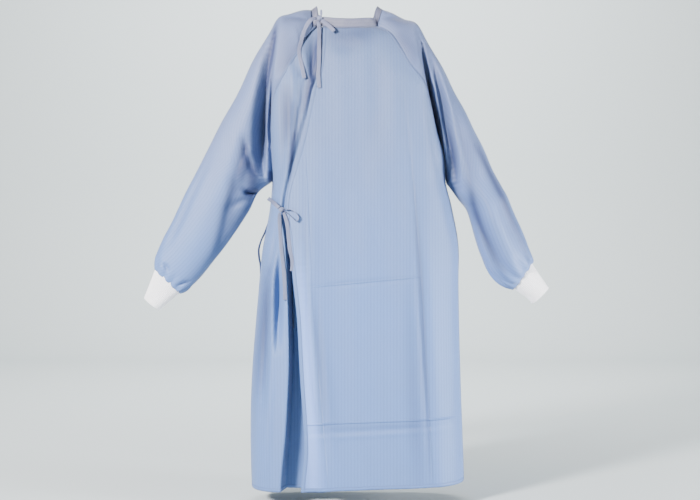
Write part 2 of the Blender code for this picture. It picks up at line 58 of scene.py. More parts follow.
# The view, the light and the stage. The camera stands straight behind the gown, as far off as the
# gown's own spread asks. A soft lamp at the upper left and a weaker one at the right light it,
# and the pale wall stands so far behind it that the gown can be looked at from every side.
VIEW_PLACE = (0.008, -3.2, -0.614)
VIEW_LENS = 63.3
FLOOR_Z = -1.262
FLOOR_REACH = 7.0
SWEEP_START = 4.0
SWEEP_RADIUS = 1.2
SWEEP_STEPS = 13
WALL_TOP = 3.0
STAGE_TONE = (0.57, 0.63, 0.64)
STAGE_ROUGHNESS = 0.9
SKY_TONE = (0.86, 0.89, 0.92)
SKY_STRENGTH = 0.24
# place, aim, size, watts, colour
LAMPS = {
    "key_lamp": ((-2.3, -2.8, 0.8), (0.0, 0.0, -0.6), 0.7, 490.0, (1.0, 0.97, 0.96)),
    "side_lamp": ((2.9, -1.0, -0.8), (0.25, 0.0, -0.8), 0.8, 230.0, (0.95, 0.97, 1.0)),
    "wall_lamp": ((0.0, 2.2, 2.3), (0.0, 5.2, -0.8), 3.0, 330.0, (1.0, 1.0, 1.0)),
}


def linked(name, data):
    """A new object of this data in the scene."""
    made = bpy.data.objects.new(name, data)
    bpy.context.scene.collection.objects.link(made)
    return made


def aimed(thing, place, target):
    """Puts a lamp or the camera at a place and turns it towards a target."""
    thing.location = place
    way = Vector(target) - Vector(place)
    thing.rotation_euler = way.to_track_quat("-Z", "Y").to_euler()


lens = bpy.data.cameras.new("view")
lens.sensor_width = 36
lens.lens = VIEW_LENS
camera = linked("view", lens)
aimed(camera, VIEW_PLACE, (VIEW_PLACE[0], 0.0, VIEW_PLACE[2]))
bpy.context.scene.camera = camera

for name, (place, target, size, watts, tone) in LAMPS.items():
    glow = bpy.data.lights.new(name, "AREA")
    glow.shape = "DISK"
    glow.size = size
    glow.energy = watts
    glow.color = tone
    aimed(linked(name, glow), place, target)

sky = bpy.data.worlds.new("soft_sky")
sky.use_nodes = True
glow = sky.node_tree.nodes["Background"].inputs
glow["Color"].default_value = (*SKY_TONE, 1)
glow["Strength"].default_value = SKY_STRENGTH
bpy.context.scene.world = sky

profile = [(-FLOOR_REACH, FLOOR_Z)]
for bend in np.radians(np.linspace(0, 90, SWEEP_STEPS)):
    rise = SWEEP_RADIUS * (1 - math.cos(bend))
    profile.append((SWEEP_START + SWEEP_RADIUS * math.sin(bend), FLOOR_Z + rise))
profile.append((SWEEP_START + SWEEP_RADIUS, WALL_TOP))
cage = bmesh.new()
edges = [
    [cage.verts.new((side * FLOOR_REACH, y, z)) for side in (-1, 1)] for y, z in profile
]
for (low_left, low_right), (high_left, high_right) in zip(edges, edges[1:]):
    cage.faces.new((low_left, low_right, high_right, high_left))
ground = bpy.data.meshes.new("floor")
cage.to_mesh(ground)
cage.free()
ground.shade_smooth()
paint = bpy.data.materials.new("floor_paint")
paint.use_nodes = True
coat = paint.node_tree.nodes["Principled BSDF"].inputs
coat["Base Color"].default_value = (*STAGE_TONE, 1)
coat["Roughness"].default_value = STAGE_ROUGHNESS
ground.materials.append(paint)
floor = linked("floor", ground)
floor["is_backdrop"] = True


# Body: the front panel and the two back panels, woven polyester with a fine stripe down the
# length. They are cut flat, joined at the side seams and hang in long soft folds, and the outer
# back panel keeps the pressed lines of its storage fold.
CLOTH = 0.0011
LAP = 0.0021
BACK_NECK_DIP = 0.010
FRONT_NECK_DIP = 0.036
NECK_DIP_FADE = 0.6
UNDERLAP_WRAP = 0.085
ARMHOLE_FOLD_REACH = 0.015
FOLD_SHARE = 0.45
UNDERARM = 8
ROW_SPACING = 0.0045
FRONT_COLUMNS = 110
OVERLAP_COLUMNS = 110
UNDERLAP_COLUMNS = (46, 12, 16)
SIDE_FADE = 0.02
# Painted shade of the folds: the fold depth that takes the full painted shade, and how dark that
# painted shade is
FULL_SHADE_FOLD_DEPTH = 0.018
CREASE_PAINTED_SHADE = 0.50
FINE_STEPS = 600
WELD = 0.00001
WANDER = 0.9
SLEEVE_BUNCHING = 0.6
STROKE_STEPS = 33


def table(sizes, numbers, *rows):
    """Rows as one array a column: sizes are given in millimetres, and plain numbers follow them."""
    sizes = sizes.split()
    columns = np.array(rows, dtype=float).T
    found = dict(zip(sizes, columns / 1000))
    found.update(zip(numbers.split(), columns[len(sizes) :]))
    return found


def rows_of(columns):
    """The rows of a table, each with its values by name."""
    return [dict(zip(columns, row)) for row in zip(*columns.values())]


def folds(*back, front=()):
    """Soft folds of the back, then those of the front, as lines over three points."""
    return table(
        "top_x top_z mid_x mid_z low_x low_z width depth",
        "lean peak side",
        *[(*row, -1) for row in back],
        *[(*row, 1) for row in front],
    )


def painted_shade_lines(*rows):
    """Lines of painted shade on the back, and of painted highlight where the tone is below 0."""
    return table(
        "top_x top_z mid_x mid_z low_x low_z width",
        "tone lean peak side",
        *[(*row, 0.0, 0.5, -1) for row in rows],
    )


# Sections from neckline to hem: the two edges, the depth of the seam and of the middle, and how
# square and how tightly rolled the section is. The first nine end on the raglan seams.
BODY = table(
    "left_x left_z right_x right_z seam_y back_y front_y",
    "squareness roll",
    (-86, -37, 79, -40, 32, 68, 68, 2.2, 0.6),
    (-111, -78, 112, -62, 58, 80, 82, 2.6, 0.9),
    (-126, -108, 140, -105, 76, 90, 92, 3, 1),
    (-151, -151, 165, -147, 85, 97, 100, 4, 1),
    (-172, -191, 196, -187, 82, 101, 105, 6, 0.7),
    (-187, -235, 210, -235, 66, 103, 108, 6, 0.5),
    (-192, -302, 226, -302, 50, 105, 110, 6, 0.5),
    (-191, -370, 246, -368, 30, 106, 110, 6, 0.5),
    (-190, -434, 257, -442, 0, 106, 110, 6, 0.5),
    (-196, -504, 273, -504, 0, 106, 108, 6, 0.5),
    (-214, -600, 289, -600, 0, 108, 108, 6, 0.5),
    (-225, -700, 288, -700, 0, 109, 110, 6, 0.5),
    (-236, -825, 290, -825, 0, 110, 112, 6, 0.5),
    (-245, -960, 294, -960, 0, 112, 114, 6, 0.5),
    (-249, -1100, 299, -1095, 0, 114, 116, 6, 0.5),
    (-245, -1226, 301, -1208, 0, 115, 118, 6, 0.5),
)
FREE_EDGE = table(
    "z x",
    "",
    (-48, -62),
    (-155, -69),
    (-213, -88),
    (-322, -110),
    (-395, -130),
    (-495, -154),
    (-586, -146),
    (-663, -138),
    (-785, -125),
    (-931, -117),
    (-1110, -106),
    (-1219, -115),
)
# Where the inner back panel turns inwards under the outer one, how far, and how wide the turn is
UNDERLAP_TURN = table(
    "z x inwards width",
    "",
    (-48, -78, 6, 12),
    (-155, -86, 6, 14),
    (-322, -127, 8, 15),
    (-495, -168, 12, 12),
    (-600, -158, 25, 10),
    (-700, -152, 45, 11),
    (-900, -149, 52, 12),
    (-1030, -156, 56, 14),
    (-1220, -170, 62, 18),
)
UNDERLAP_FOLDS = table(
    "top_x top_z low_x low_z width depth",
    "",
    (-168, -600, -176, -880, 10, 30),
    (-196, -740, -215, -1060, 12, 10),
)


def read(sizes, name, place):
    """A column of a table at row positions, on a smooth curve through its rows."""
    rows = sizes[name]
    place = np.clip(np.asarray(place, dtype=float), 0, len(rows) - 1)
    low = np.minimum(place.astype(int), len(rows) - 2)
    step = place - low
    before = rows[np.maximum(low - 1, 0)]
    start = rows[low]
    end = rows[low + 1]
    after = rows[np.minimum(low + 2, len(rows) - 1)]
    rise = (end - before) / 2
    fall = (after - start) / 2
    cube = step**3
    square = step**2
    return (
        start * (2 * cube - 3 * square + 1)
        + rise * (cube - 2 * square + step)
        + end * (3 * square - 2 * cube)
        + fall * (cube - square)
    )


def at_height(sizes, name, z):
    """A column of a table at heights, for tables that run down from their first row."""
    return read(sizes, name, np.interp(-np.asarray(z), -sizes["z"], np.arange(len(sizes["z"]))))


def body_row(place):
    """Middle and half width of the body's section at a row position."""
    left = read(BODY, "left_x", place)
    right = read(BODY, "right_x", place)
    return (left + right) / 2, (right - left) / 2


def body_point(place, across, side):
    """A point of the body: across runs from -1 at the left seam to 1 at the right seam."""
    middle, half = body_row(place)
    left_z = read(BODY, "left_z", place)
    right_z = read(BODY, "right_z", place)
    dip = (BACK_NECK_DIP if side < 0 else FRONT_NECK_DIP) * np.exp(-NECK_DIP_FADE * place)
    seam = np.maximum(read(BODY, "seam_y", place), 0)
    depth = read(BODY, "back_y" if side < 0 else "front_y", place)
    square = read(BODY, "squareness", place)
    roll = read(BODY, "roll", place)
    bow = np.clip(1 - np.abs(across) ** square, 0, 1) ** roll
    x = middle + half * across
    y = side * (seam + (depth - seam) * bow)
    z = left_z + (right_z - left_z) * (across + 1) / 2 - dip * (1 - across**2)
    return np.stack([x, y, z], axis=-1)


def body_height(place):
    """Height of the middle of the body's back at a row position."""
    return body_point(place, np.zeros_like(place), -1)[..., 2]


def across_of(place, x):
    """The across value of a sideways position at a row position."""
    middle, half = body_row(place)
    return np.clip((x - middle) / half, -1, 1)


def bunched(place, step):
    """Steps from 0 to 1 that bunch towards 1 where the cloth rolls round at its seam."""
    roll = np.clip(2 - 2 * read(BODY, "roll", place), 0, 1)
    return step + (np.sin(step * math.pi / 2) - step) * roll


def run_of(points, axis=0):
    """Distance along each line of points, from 0 at its start."""
    step = np.linalg.norm(np.diff(points, axis=axis), axis=-1)
    start = np.zeros_like(np.take(step, [0], axis=axis))
    return np.concatenate([start, np.cumsum(step, axis=axis)], axis=axis)


def even_rows(heights):
    """Row positions so close that the cloth's rows are about one spacing apart."""
    places = np.linspace(0, len(BODY["left_x"]) - 1, FINE_STEPS)
    drop = run_of(heights(places)[:, None])
    return np.interp(np.arange(0, drop[-1] + ROW_SPACING, ROW_SPACING), drop, places)


def normals_of(points, outward):
    """Unit normals of a grid of points, away from the inside that it wraps."""
    down = np.gradient(points, axis=0)
    along = np.gradient(points, axis=1)
    normal = np.cross(along, down) if outward else np.cross(down, along)
    size = np.linalg.norm(normal, axis=-1, keepdims=True)
    return normal / np.maximum(size, 1e-12)


def stroke(points, line):
    """How near a grid's points are to a soft curved line on the back (side -1) or front (1).

    The line runs from its top over its middle to its low end. Width is half of it, lean makes it
    steeper on its right, and peak is where along it it is strongest.
    """
    run = np.linspace(0, 1, STROKE_STEPS)
    path = []
    for axis in "xz":
        top, mid, low = (line[f"{end}_{axis}"] for end in ("top", "mid", "low"))
        bow = 2 * mid - (top + low) / 2
        path.append((1 - run) ** 2 * top + 2 * run * (1 - run) * bow + run**2 * low)
    path_x, path_z = path
    way_x, way_z = np.gradient(path_x), np.gradient(path_z)
    size = np.hypot(way_x, way_z)
    gap_x = points[..., 0, None] - path_x
    gap_z = points[..., 2, None] - path_z
    near = np.argmin(gap_x**2 + gap_z**2, axis=-1)
    pick = near[..., None]
    gap_x = np.take_along_axis(gap_x, pick, -1)[..., 0]
    gap_z = np.take_along_axis(gap_z, pick, -1)[..., 0]
    aside = (gap_z * way_x[near] - gap_x * way_z[near]) / size[near]
    beyond = (gap_x * way_x[near] + gap_z * way_z[near]) / size[near]
    beyond = np.where((near == 0) | (near == len(run) - 1), beyond, 0)
    width = line["width"] * np.where(aside > 0, 1 - line["lean"], 1 + line["lean"])
    peak = math.log(0.5) / math.log(line["peak"])
    swell = np.sin(math.pi * np.clip(run, 0.02, 0.98) ** peak) ** 0.7
    fade = np.exp(-((aside / width) ** 2) - (beyond / (line["width"] * 1.5)) ** 2)
    return swell[near] * fade * np.clip(points[..., 1] * line["side"] / SIDE_FADE, 0, 1)


def creased(points, creases, painted_strokes):
    """A grid pressed in along its creases, and the painted shade of each point's colour, up to 1.

    Depth is inwards. The painted strokes paint shade where folds above keep the light out, and
    highlight where their tone is below 0.
    """
    folded = points.copy()
    painted_shading = np.zeros(points.shape[:2])
    for line in rows_of(creases):
        share = stroke(points, line)
        folded[..., 1] -= line["side"] * line["depth"] * share
        # painted shade: pressed-in creases darken the cloth's colour, more where they are deeper
        painted_shading += np.clip(line["depth"] / FULL_SHADE_FOLD_DEPTH, -1, 1) * share
    painted_shading = np.clip(painted_shading, 0, 1) * CREASE_PAINTED_SHADE
    # painted strokes: painted shade, and painted highlight where the tone is below 0
    for line in rows_of(painted_strokes):
        painted_shading = painted_shading + line["tone"] * stroke(points, line)
    return folded, np.clip(painted_shading, -1, 1.1)


def rippled(points, outward, ripples):
    """A grid with a little of the unevenness that hanging cloth has, from a few long waves."""
    normal = normals_of(points, outward)
    wave = np.zeros(points.shape[:2])
    for line in rows_of(ripples):
        angle = points[..., 0] * line["across"] + points[..., 2] * line["down"] + line["start"]
        angle = angle + np.sin(points[..., 2] * line["wander"]) * WANDER
        wave += line["height"] * np.sin(angle)
    return points + normal * wave[..., None]


def flat_places(points, grain_x):
    """Where each point lies in the flat cloth, across and along the grain."""
    across = run_of(points, 1)
    for row in range(len(points)):
        across[row] -= np.interp(grain_x, points[row, :, 0], across[row])
    along = run_of(points[:, points.shape[1] // 2])
    return np.stack([across, np.broadcast_to(along[:, None], across.shape)], axis=-1)


def cloth_piece(name, points, flat, thickness, finish, outward, welded=False, painted_shading=None):
    """A cloth wall from a grid of points, turned so that its outer face looks outward."""
    rows, columns = points.shape[:2]
    index = np.arange(rows * columns).reshape(rows, columns)
    quads = np.stack([index[:-1, :-1], index[:-1, 1:], index[1:, 1:], index[1:, :-1]], axis=-1)
    quads = quads.reshape(-1, 4)
    if not outward:
        quads = quads[:, ::-1]
    mesh = bpy.data.meshes.new(name)
    mesh.from_pydata(points.reshape(-1, 3).tolist(), [], quads.tolist())
    layer = mesh.uv_layers.new(name="cloth")
    layer.data.foreach_set("uv", flat.reshape(-1, 2)[quads.ravel()].astype(np.float32).ravel())
    # painted shade of each point: it darkens the cloth's colour, and lightens it as painted highlight
    # where below 0
    painted_shading_layer = mesh.attributes.new("painted_shading", "FLOAT", "POINT")
    if painted_shading is not None:
        painted_shading_layer.data.foreach_set("value", painted_shading.astype(np.float32).ravel())
    if welded:
        cage = bmesh.new()
        cage.from_mesh(mesh)
        bmesh.ops.remove_doubles(cage, verts=cage.verts, dist=WELD)
        cage.to_mesh(mesh)
        cage.free()
    mesh.shade_smooth()
    mesh.materials.append(finish)
    piece = linked(name, mesh)
    wall = piece.modifiers.new("Wall", "SOLIDIFY")
    wall.thickness = thickness
    wall.offset = 0
    return piece


def stands_in(piece, name):
    """Puts a piece in the place of the CAD solid of this name."""
    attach(piece, "root")
    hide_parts(name)


class Socket:
    """A shader socket. Sums and products of sockets and numbers add Math nodes."""

    def __init__(self, finish, end):
        self.finish = finish
        self.end = end

    def maths(self, operation, *values):
        """A Math node of this operation on the given values."""
        inputs = dict(enumerate(values))
        return self.finish.node("ShaderNodeMath", {"operation": operation}, inputs)

    def __add__(self, other):
        return self.maths("ADD", self, other)

    __radd__ = __add__

    def __sub__(self, other):
        return self.maths("SUBTRACT", self, other)

    def __rsub__(self, other):
        return self.maths("SUBTRACT", other, self)

    def __mul__(self, other):
        return self.maths("MULTIPLY", self, other)

    __rmul__ = __mul__

    def __truediv__(self, other):
        return self.maths("DIVIDE", self, other)

    def above(self, low):
        """The value, or low where it is less."""
        return self.maths("MAXIMUM", self, low)

    def wave(self, period):
        """A sine from -1 to 1 that repeats at this period."""
        return self.maths("SINE", self * (2 * math.pi / period))

    def ramp(self, low, high):
        """A smooth step from 0 at low to 1 at high."""
        settings = {"interpolation_type": "SMOOTHSTEP"}
        inputs = {"Value": self, "From Min": low, "From Max": high}
        return self.finish.node("ShaderNodeMapRange", settings, inputs)


class Finish:
    """A node material: its shader's plain values, and nodes for what varies."""

    def __init__(self, name, **values):
        self.material = bpy.data.materials.new(name)
        self.material.use_nodes = True
        self.tree = self.material.node_tree
        self.shader = self.tree.nodes["Principled BSDF"]
        for socket, value in values.items():
            self.shader.inputs[socket.replace("_", " ")].default_value = value

    def node(self, kind, settings=None, inputs=None, output=0):
        """A node of this type, its settings first and then its sockets' values or links."""
        made = self.tree.nodes.new(kind)
        for name, value in (settings or {}).items():
            setattr(made, name, value)
        for name, value in (inputs or {}).items():
            if isinstance(value, Socket):
                self.tree.links.new(value.end, made.inputs[name])
            else:
                made.inputs[name].default_value = value
        return Socket(self, made.outputs[output])

    def place(self):
        """The point's place on the gown."""
        return self.node("ShaderNodeTexCoord", None, None, 3)

    def flat_place(self):
        """The point's place in the flat cloth."""
        return self.node("ShaderNodeUVMap", {"uv_map": "cloth"})

    def parts(self, vector):
        """The three parts of a vector."""
        first = self.node("ShaderNodeSeparateXYZ", None, {0: vector})
        return [Socket(self, end) for end in first.end.node.outputs]

    def noise(self, place, scale, detail=2.0):
        """Soft noise, with this many lumps a metre."""
        inputs = {0: place, "Scale": scale, "Detail": detail}
        return self.node("ShaderNodeTexNoise", None, inputs)

    def mixed(self, factor, first, second):
        """A colour between two colours."""
        inputs = {0: factor, 6: first, 7: second}
        return self.node("ShaderNodeMix", {"data_type": "RGBA"}, inputs, 2)

    def feed(self, name, value):
        """Links a value that varies to the shader's socket."""
        self.tree.links.new(value.end, self.shader.inputs[name])

    def relief(self, height, distance, strength=1.0):
        """Feeds a height in units of distance to the shader's normal."""
        inputs = {"Height": height, "Distance": distance, "Strength": strength}
        self.feed("Normal", self.node("ShaderNodeBump", None, inputs))


STRIPE = 0.0082
THREAD = 0.0011
CLOUD_SCALE = 5.0
FLECK_SCALE = 420.0
WEAVE_RELIEF = 0.0005


def pressed_line(finish, across, up, start, end, width):
    """Height of a sharp pressed line between two points of the back, from 0 to 1."""
    way_x = end[0] - start[0]
    way_z = end[1] - start[1]
    size = math.hypot(way_x, way_z)
    aside = (across - start[0]) * (way_z / size) - (up - start[1]) * (way_x / size)
    run = (across - start[0]) * (way_x / size) + (up - start[1]) * (way_z / size)
    near = 1 - aside.maths("ABSOLUTE", aside) / width
    ends = run.ramp(-0.02, 0.03) * (size - run).ramp(-0.02, 0.03)
    return near.ramp(0.0, 1.0) * ends


def striped_cloth(name, cool, warm, shade, lines=()):
    """Woven polyester: a faint stripe along the grain, a fine weave and a soft satin sheen, with
    painted shade and highlight in its colour.
    """
    finish = Finish(
        name,
        Roughness=0.5,
        Specular_IOR_Level=0.42,
        Sheen_Weight=0.22,
        Sheen_Roughness=0.35,
        Sheen_Tint=(0.92, 0.90, 1.0, 1.0),
    )
    across, along, _ = finish.parts(finish.flat_place())
    aside, _, up = finish.parts(finish.place())
    cloud = finish.noise(finish.place(), CLOUD_SCALE, 3.0)
    fleck = finish.noise(finish.flat_place(), FLECK_SCALE)
    line = (across.wave(STRIPE) * 0.5 + 0.5).ramp(0.35, 1.0)
    broad = (across.wave(STRIPE * 4) * 0.5 + 0.5).ramp(0.7, 1.0)
    # the colour runs from the cool colour low down to the warm colour towards the top, with soft
    # random patches
    tone = finish.mixed(up.ramp(-0.95, 0.0) * 0.75 + cloud * 0.5 - 0.25, cool, warm)
    depth = line * 0.24 + broad * 0.04 + fleck * 0.14
    painted_shading = finish.node("ShaderNodeAttribute", {"attribute_name": "painted_shading"}, None, 2)
    woven = finish.mixed(depth, tone, shade)
    # painted highlight and painted shade: cloth that catches more light is painted paler, and cloth
    # deep in a fold is painted darker
    painted_highlight_colour = finish.mixed((0 - painted_shading).above(0.0), woven, PAINTED_HIGHLIGHT_BLUE)
    painted_shade_share = painted_shading.above(0.0) * PAINTED_SHADE_STRENGTH
    finish.feed("Base Color", finish.mixed(painted_shade_share, painted_highlight_colour, PAINTED_SHADE_BLUE))
    weave = across.wave(THREAD) * along.wave(THREAD)
    finish.feed("Roughness", cloud * 0.10 + line * 0.05 + 0.44)
    height = weave * 0.25 + line * 0.5 + fleck * 0.6 + cloud * 1.2
    for start, end, width, rise in lines:
        height = height + pressed_line(finish, aside, up, start, end, width) * rise
    finish.relief(height, WEAVE_RELIEF, 0.5)
    return finish.material


BLUE = (0.110, 0.208, 0.475, 1.0)
LILAC_BLUE = (0.134, 0.174, 0.280, 1.0)
STRIPE_BLUE = (0.074, 0.130, 0.300, 1.0)
# Painted shade colour of the deep folds, painted highlight colour of cloth that catches more light,
# and how far the painted shade goes towards its colour
PAINTED_SHADE_BLUE = (0.024, 0.034, 0.105, 1.0)
PAINTED_HIGHLIGHT_BLUE = (0.200, 0.335, 0.780, 1.0)
PAINTED_SHADE_STRENGTH = 0.80
# The sharp lines of the storage fold: start and end as x and z, width and rise
PRESSED_LINES = (
    ((-0.1035, -0.386), (-0.0860, -0.760), 0.0032, 5.0),
    ((-0.0860, -0.760), (-0.0460, -1.217), 0.0034, 6.0),
    ((0.1616, -0.386), (0.1865, -0.688), 0.0032, -4.0),
    ((0.1865, -0.688), (0.2159, -1.197), 0.0036, -6.0),
    ((-0.0880, -0.707), (0.1800, -0.682), 0.0036, 8.0),
    ((-0.1137, -1.052), (0.2660, -1.038), 0.0040, 14.0),
)
body_cloth = striped_cloth("body_cloth", BLUE, LILAC_BLUE, STRIPE_BLUE)
pressed_cloth = striped_cloth("pressed_cloth", BLUE, LILAC_BLUE, STRIPE_BLUE, PRESSED_LINES)

# Long waves of the hanging cloth, gentle enough not to read as a pattern
BODY_RIPPLES = table(
    "height",
    "across down start wander",
    (1.2, 21, 3, 0.4, 5),
    (0.9, 47, -5, 1.9, 7),
    (0.5, 90, 16, 0.7, 11),
)
# Pressed storage lines of the outer back panel, then the soft folds below the neck and arms
OVERLAP_CREASES = folds(
    (-98, -600, -79, -900, -56, -1330, 20, -11, 0, 0.62),
    (-104, -340, -90, -830, -46, -1250, 7, 5, 0.4, 0.6),
    (-86, -400, -72, -830, -28, -1250, 12, -3, 0, 0.6),
    (160, -340, 186, -780, 216, -1250, 7, 3.5, 0.5, 0.6),
    (190, -340, 214, -800, 244, -1250, 20, -4, 0, 0.6),
    (-88, -707, 50, -696, 185, -685, 5, 2.4, 0, 0.45),
    (-115, -1076, 80, -1066, 288, -1052, 5, 3, 0, 0.5),
    (-112, -1088, 80, -1078, 288, -1064, 6, -2, 0, 0.5),
    (205, -215, 214, -330, 238, -440, 10, 4, 0, 0.6),
    (30, -75, 5, -100, -40, -90, 18, 4.5, 0, 0.5),
    (135, -180, 150, -300, 160, -420, 10, 3, 0.3, 0.6),
    (70, -100, 75, -250, 60, -400, 26, 3, 0, 0.5),
)
# Painted shade along the pressed lines and below the neckband, and painted highlight, where the tone
# is below 0, on the strip between the free edge and the first pressed line
OVERLAP_PAINTED_SHADES = painted_shade_lines(
    (-116.2, -627, -94.7, -956, -75.7, -1400, 20, -1.05),
    (161.6, -386, 190.5, -766, 210.8, -1230, 7, 0.55),
    (160.1, -665, 170.2, -994, 188, -1298, 22, 0.36),
    (-95.9, -665, -73.1, -893, -57.9, -1096, 10, 0.48),
    (-85.8, -703, -57.9, -906, -27.5, -1108, 20, 0.26),
    (-60, -60, 10, -72, 76, -56, 24, 0.6),
    (-113.7, -1062, 85, -1056, 195, -1050, 6, 0.24),
    (-88, -700, 30, -690, 150, -680, 5, 0.12),
)
# Painted shade on the inner back panel: in the shadow under the outer panel's free edge, between the
# neck ties and in its folds
UNDERLAP_PAINTED_SHADES = painted_shade_lines(
    (-88, -40, -82, -100, -95.9, -185, 16, 0.35),
    (-57.9, -41, -78.2, -137, -111.1, -290, 11, 1.5),
    (-128.9, -310, -139, -366, -147.9, -462, 6, 1.1),
    (-154.2, -188, -147.9, -272, -151.7, -360, 18, 0.85),
    (-190, -640, -209, -810, -219, -1000, 19, 0.62),
    (-197.3, -406, -193.5, -437, -189.7, -464, 5, 2),
)
UNDERLAP_CREASES = folds(
    (-86, -50, -86, -120, -92, -200, 12, 12, 0.3, 0.6),
    (-112, -105, -98, -160, -86, -205, 8, -5, 0, 0.5),
    (-150, -130, -135, -190, -122, -255, 9, -6, 0, 0.4),
    (-108, -170, -124, -290, -152, -440, 14, 10, 0, 0.4),
    (-165, -200, -158, -330, -170, -460, 9, 4, 0, 0.5),
    (-140, -230, -140, -330, -165, -480, 9, -4, 0, 0.6),
    (-176, -540, -190, -640, -205, -680, 8, 6, 0, 0.5),
    (-204, -640, -208, -800, -222, -1020, 17, 12, 0.3, 0.45),
    (-232, -800, -236, -980, -240, -1180, 8, 4, 0, 0.5),
    (-186, -780, -196, -980, -206, -1220, 11, -7, 0, 0.6),
)
FRONT_CREASES = folds(
    front=[
        (-120, -200, -100, -500, -105, -1180, 12, 4.5, 0.2, 0.5),
        (120, -160, 150, -600, 165, -1200, 12, 5, 0.2, 0.6),
        (10, -120, 20, -500, 15, -1200, 7, 2, 0, 0.6),
        (-220, -690, 30, -700, 270, -685, 6, 1.4, 0, 0.5),
        (-230, -1066, 30, -1070, 280, -1058, 6, 1.4, 0, 0.5),
        (30, -85, 0, -125, -45, -105, 18, 3.5, 0, 0.5),
        (-170, -200, -180, -320, -175, -420, 10, 5, 0, 0.6),
        (200, -200, 205, -320, 225, -430, 10, 5, 0, 0.6),
    ],
)


def underlap_depth(points):
    """How far the inner back panel lies inside the line of the back at its points."""
    x = points[..., 0]
    z = points[..., 2]
    turn = at_height(UNDERLAP_TURN, "x", z)
    width = at_height(UNDERLAP_TURN, "width", z)
    step = np.clip((x - turn) / width, 0, 1)
    inwards = at_height(UNDERLAP_TURN, "inwards", z) * step**2 * (3 - 2 * step)
    for fold in rows_of(UNDERLAP_FOLDS):
        run = np.clip((z - fold["top_z"]) / (fold["low_z"] - fold["top_z"]), 0, 1)
        middle = fold["top_x"] + (fold["low_x"] - fold["top_x"]) * run
        swell = np.sin(run * math.pi)
        inwards = inwards + fold["depth"] * swell * np.exp(-(((x - middle) / fold["width"]) ** 2))
    return inwards


def front_grid(places):
    """Points of the front panel."""
    place, column = np.meshgrid(places, np.linspace(-1, 1, FRONT_COLUMNS + 1), indexing="ij")
    return body_point(place, np.sign(column) * bunched(place, np.abs(column)), 1)


def overlap_grid(places):
    """Points of the outer back panel, from its free edge to the right seam."""
    place, column = np.meshgrid(places, np.linspace(0, 1, OVERLAP_COLUMNS + 1), indexing="ij")
    free = across_of(place, at_height(FREE_EDGE, "x", body_height(place)))
    return body_point(place, free + (1 - free) * bunched(place, column), -1)


def underlap_grid(places):
    """Points of the inner back panel, from the left seam to its hidden edge."""
    place = places[:, None]
    z = body_height(place)
    turn_x = at_height(UNDERLAP_TURN, "x", z)
    turn_end = turn_x + at_height(UNDERLAP_TURN, "width", z)
    hidden_x = np.maximum(at_height(FREE_EDGE, "x", z), turn_end) + UNDERLAP_WRAP
    rounded, turning, flat = UNDERLAP_COLUMNS
    start = across_of(place, turn_x)
    first = start - (start + 1) * bunched(place, np.linspace(1, 0, rounded + 1))
    second = across_of(place, turn_x + (turn_end - turn_x) * np.linspace(0, 1, turning + 1)[1:])
    third = across_of(place, turn_end + (hidden_x - turn_end) * np.linspace(0, 1, flat + 1)[1:])
    across = np.concatenate([first, second, third], axis=1)
    points = body_point(place + np.zeros_like(across), across, -1)
    points[..., 1] += underlap_depth(points)
    return points


def body_panel(name, points, grain_x, creases, painted_strokes, outward, finish):
    """A body panel with its folds and their painted shade, as a shell in the place of its CAD solid.
    """
    flat = flat_places(points, grain_x)
    folded, painted_shading = creased(points, creases, painted_strokes)
    folded = rippled(folded, outward, BODY_RIPPLES)
    piece = cloth_piece(name + "_cloth", folded, flat, CLOTH, finish, outward, painted_shading=painted_shading)
    stands_in(piece, name)
    return piece, folded


body_rows = even_rows(body_height)
front, front_points = body_panel(
    "front_panel", front_grid(body_rows), 0.03, FRONT_CREASES, painted_shade_lines(), True, body_cloth
)
overlap, overlap_points = body_panel(
    "back_overlap",
    overlap_grid(body_rows),
    0.05,
    OVERLAP_CREASES,
    OVERLAP_PAINTED_SHADES,
    False,
    pressed_cloth,
)
underlap, underlap_points = body_panel(
    "back_underlap",
    underlap_grid(body_rows),
    -0.12,
    UNDERLAP_CREASES,
    UNDERLAP_PAINTED_SHADES,
    False,
    body_cloth,
)


# Sleeves: raglan sleeves of the same cloth, each cut in one piece with its seam under the arm.
# They are set in along the slanting seams and fall in long folds beside the armholes.
SLEEVE_COLUMNS = 96
SLEEVE_RIGHT = table(
    "outer_x outer_z depth fold",
    "opening",
    (93, 10, 32, 0, 95),
    (118, 2, 61, 0, 108),
    (150, -14, 79, 0, 108),
    (180, -27, 87, 0, 102),
    (205, -70, 83, 6, 80),
    (240, -130, 78, 22, 58),
    (286, -218, 72, 24, 44),
    (335, -313, 68, 0, 28),
    (380, -410, 66, 0, 0),
    (402, -450, 66, 0, 0),
    (419, -479, 66, 0, 0),
    (442, -533, 64, 0, 0),
    (466, -591, 60, 0, 0),
    (477, -620, 54, 0, 0),
    (485, -643, 44, 0, 0),
    (478, -648, 27, 0, 0),
)
SLEEVE_LEFT = table(
    "outer_x outer_z depth fold",
    "opening",
    (-91.5, 10, 32, 0, 95),
    (-115, 8, 61, 0, 108),
    (-147, -2, 79, 0, 108),
    (-177, -11, 87, 0, 102),
    (-198, -46, 83, 6, 80),
    (-231, -105, 78, 22, 58),
    (-278, -201, 72, 26, 44),
    (-322, -284, 68, 8, 26),
    (-362, -358, 62, 0, 0),
    (-392, -416, 58, 0, 0),
    (-415, -461, 54, 0, 0),
    (-437, -505, 50, 0, 0),
    (-458, -547, 48, 0, 0),
    (-476, -582, 44, 0, 0),
    (-494, -630, 38, 0, 0),
    (-497, -664, 27, 0, 0),
)
UNDERSIDE_RIGHT = table(
    "under_x under_z",
    "",
    (257, -442),
    (287, -478),
    (312, -513),
    (330, -572),
    (349, -630),
    (369, -674),
    (400, -703),
    (438, -716),
)
UNDERSIDE_LEFT = table(
    "under_x under_z",
    "",
    (-190, -434),
    (-232, -463),
    (-257, -515),
    (-296, -575),
    (-333, -624),
    (-377, -680),
    (-411, -713),
    (-435, -724),
)
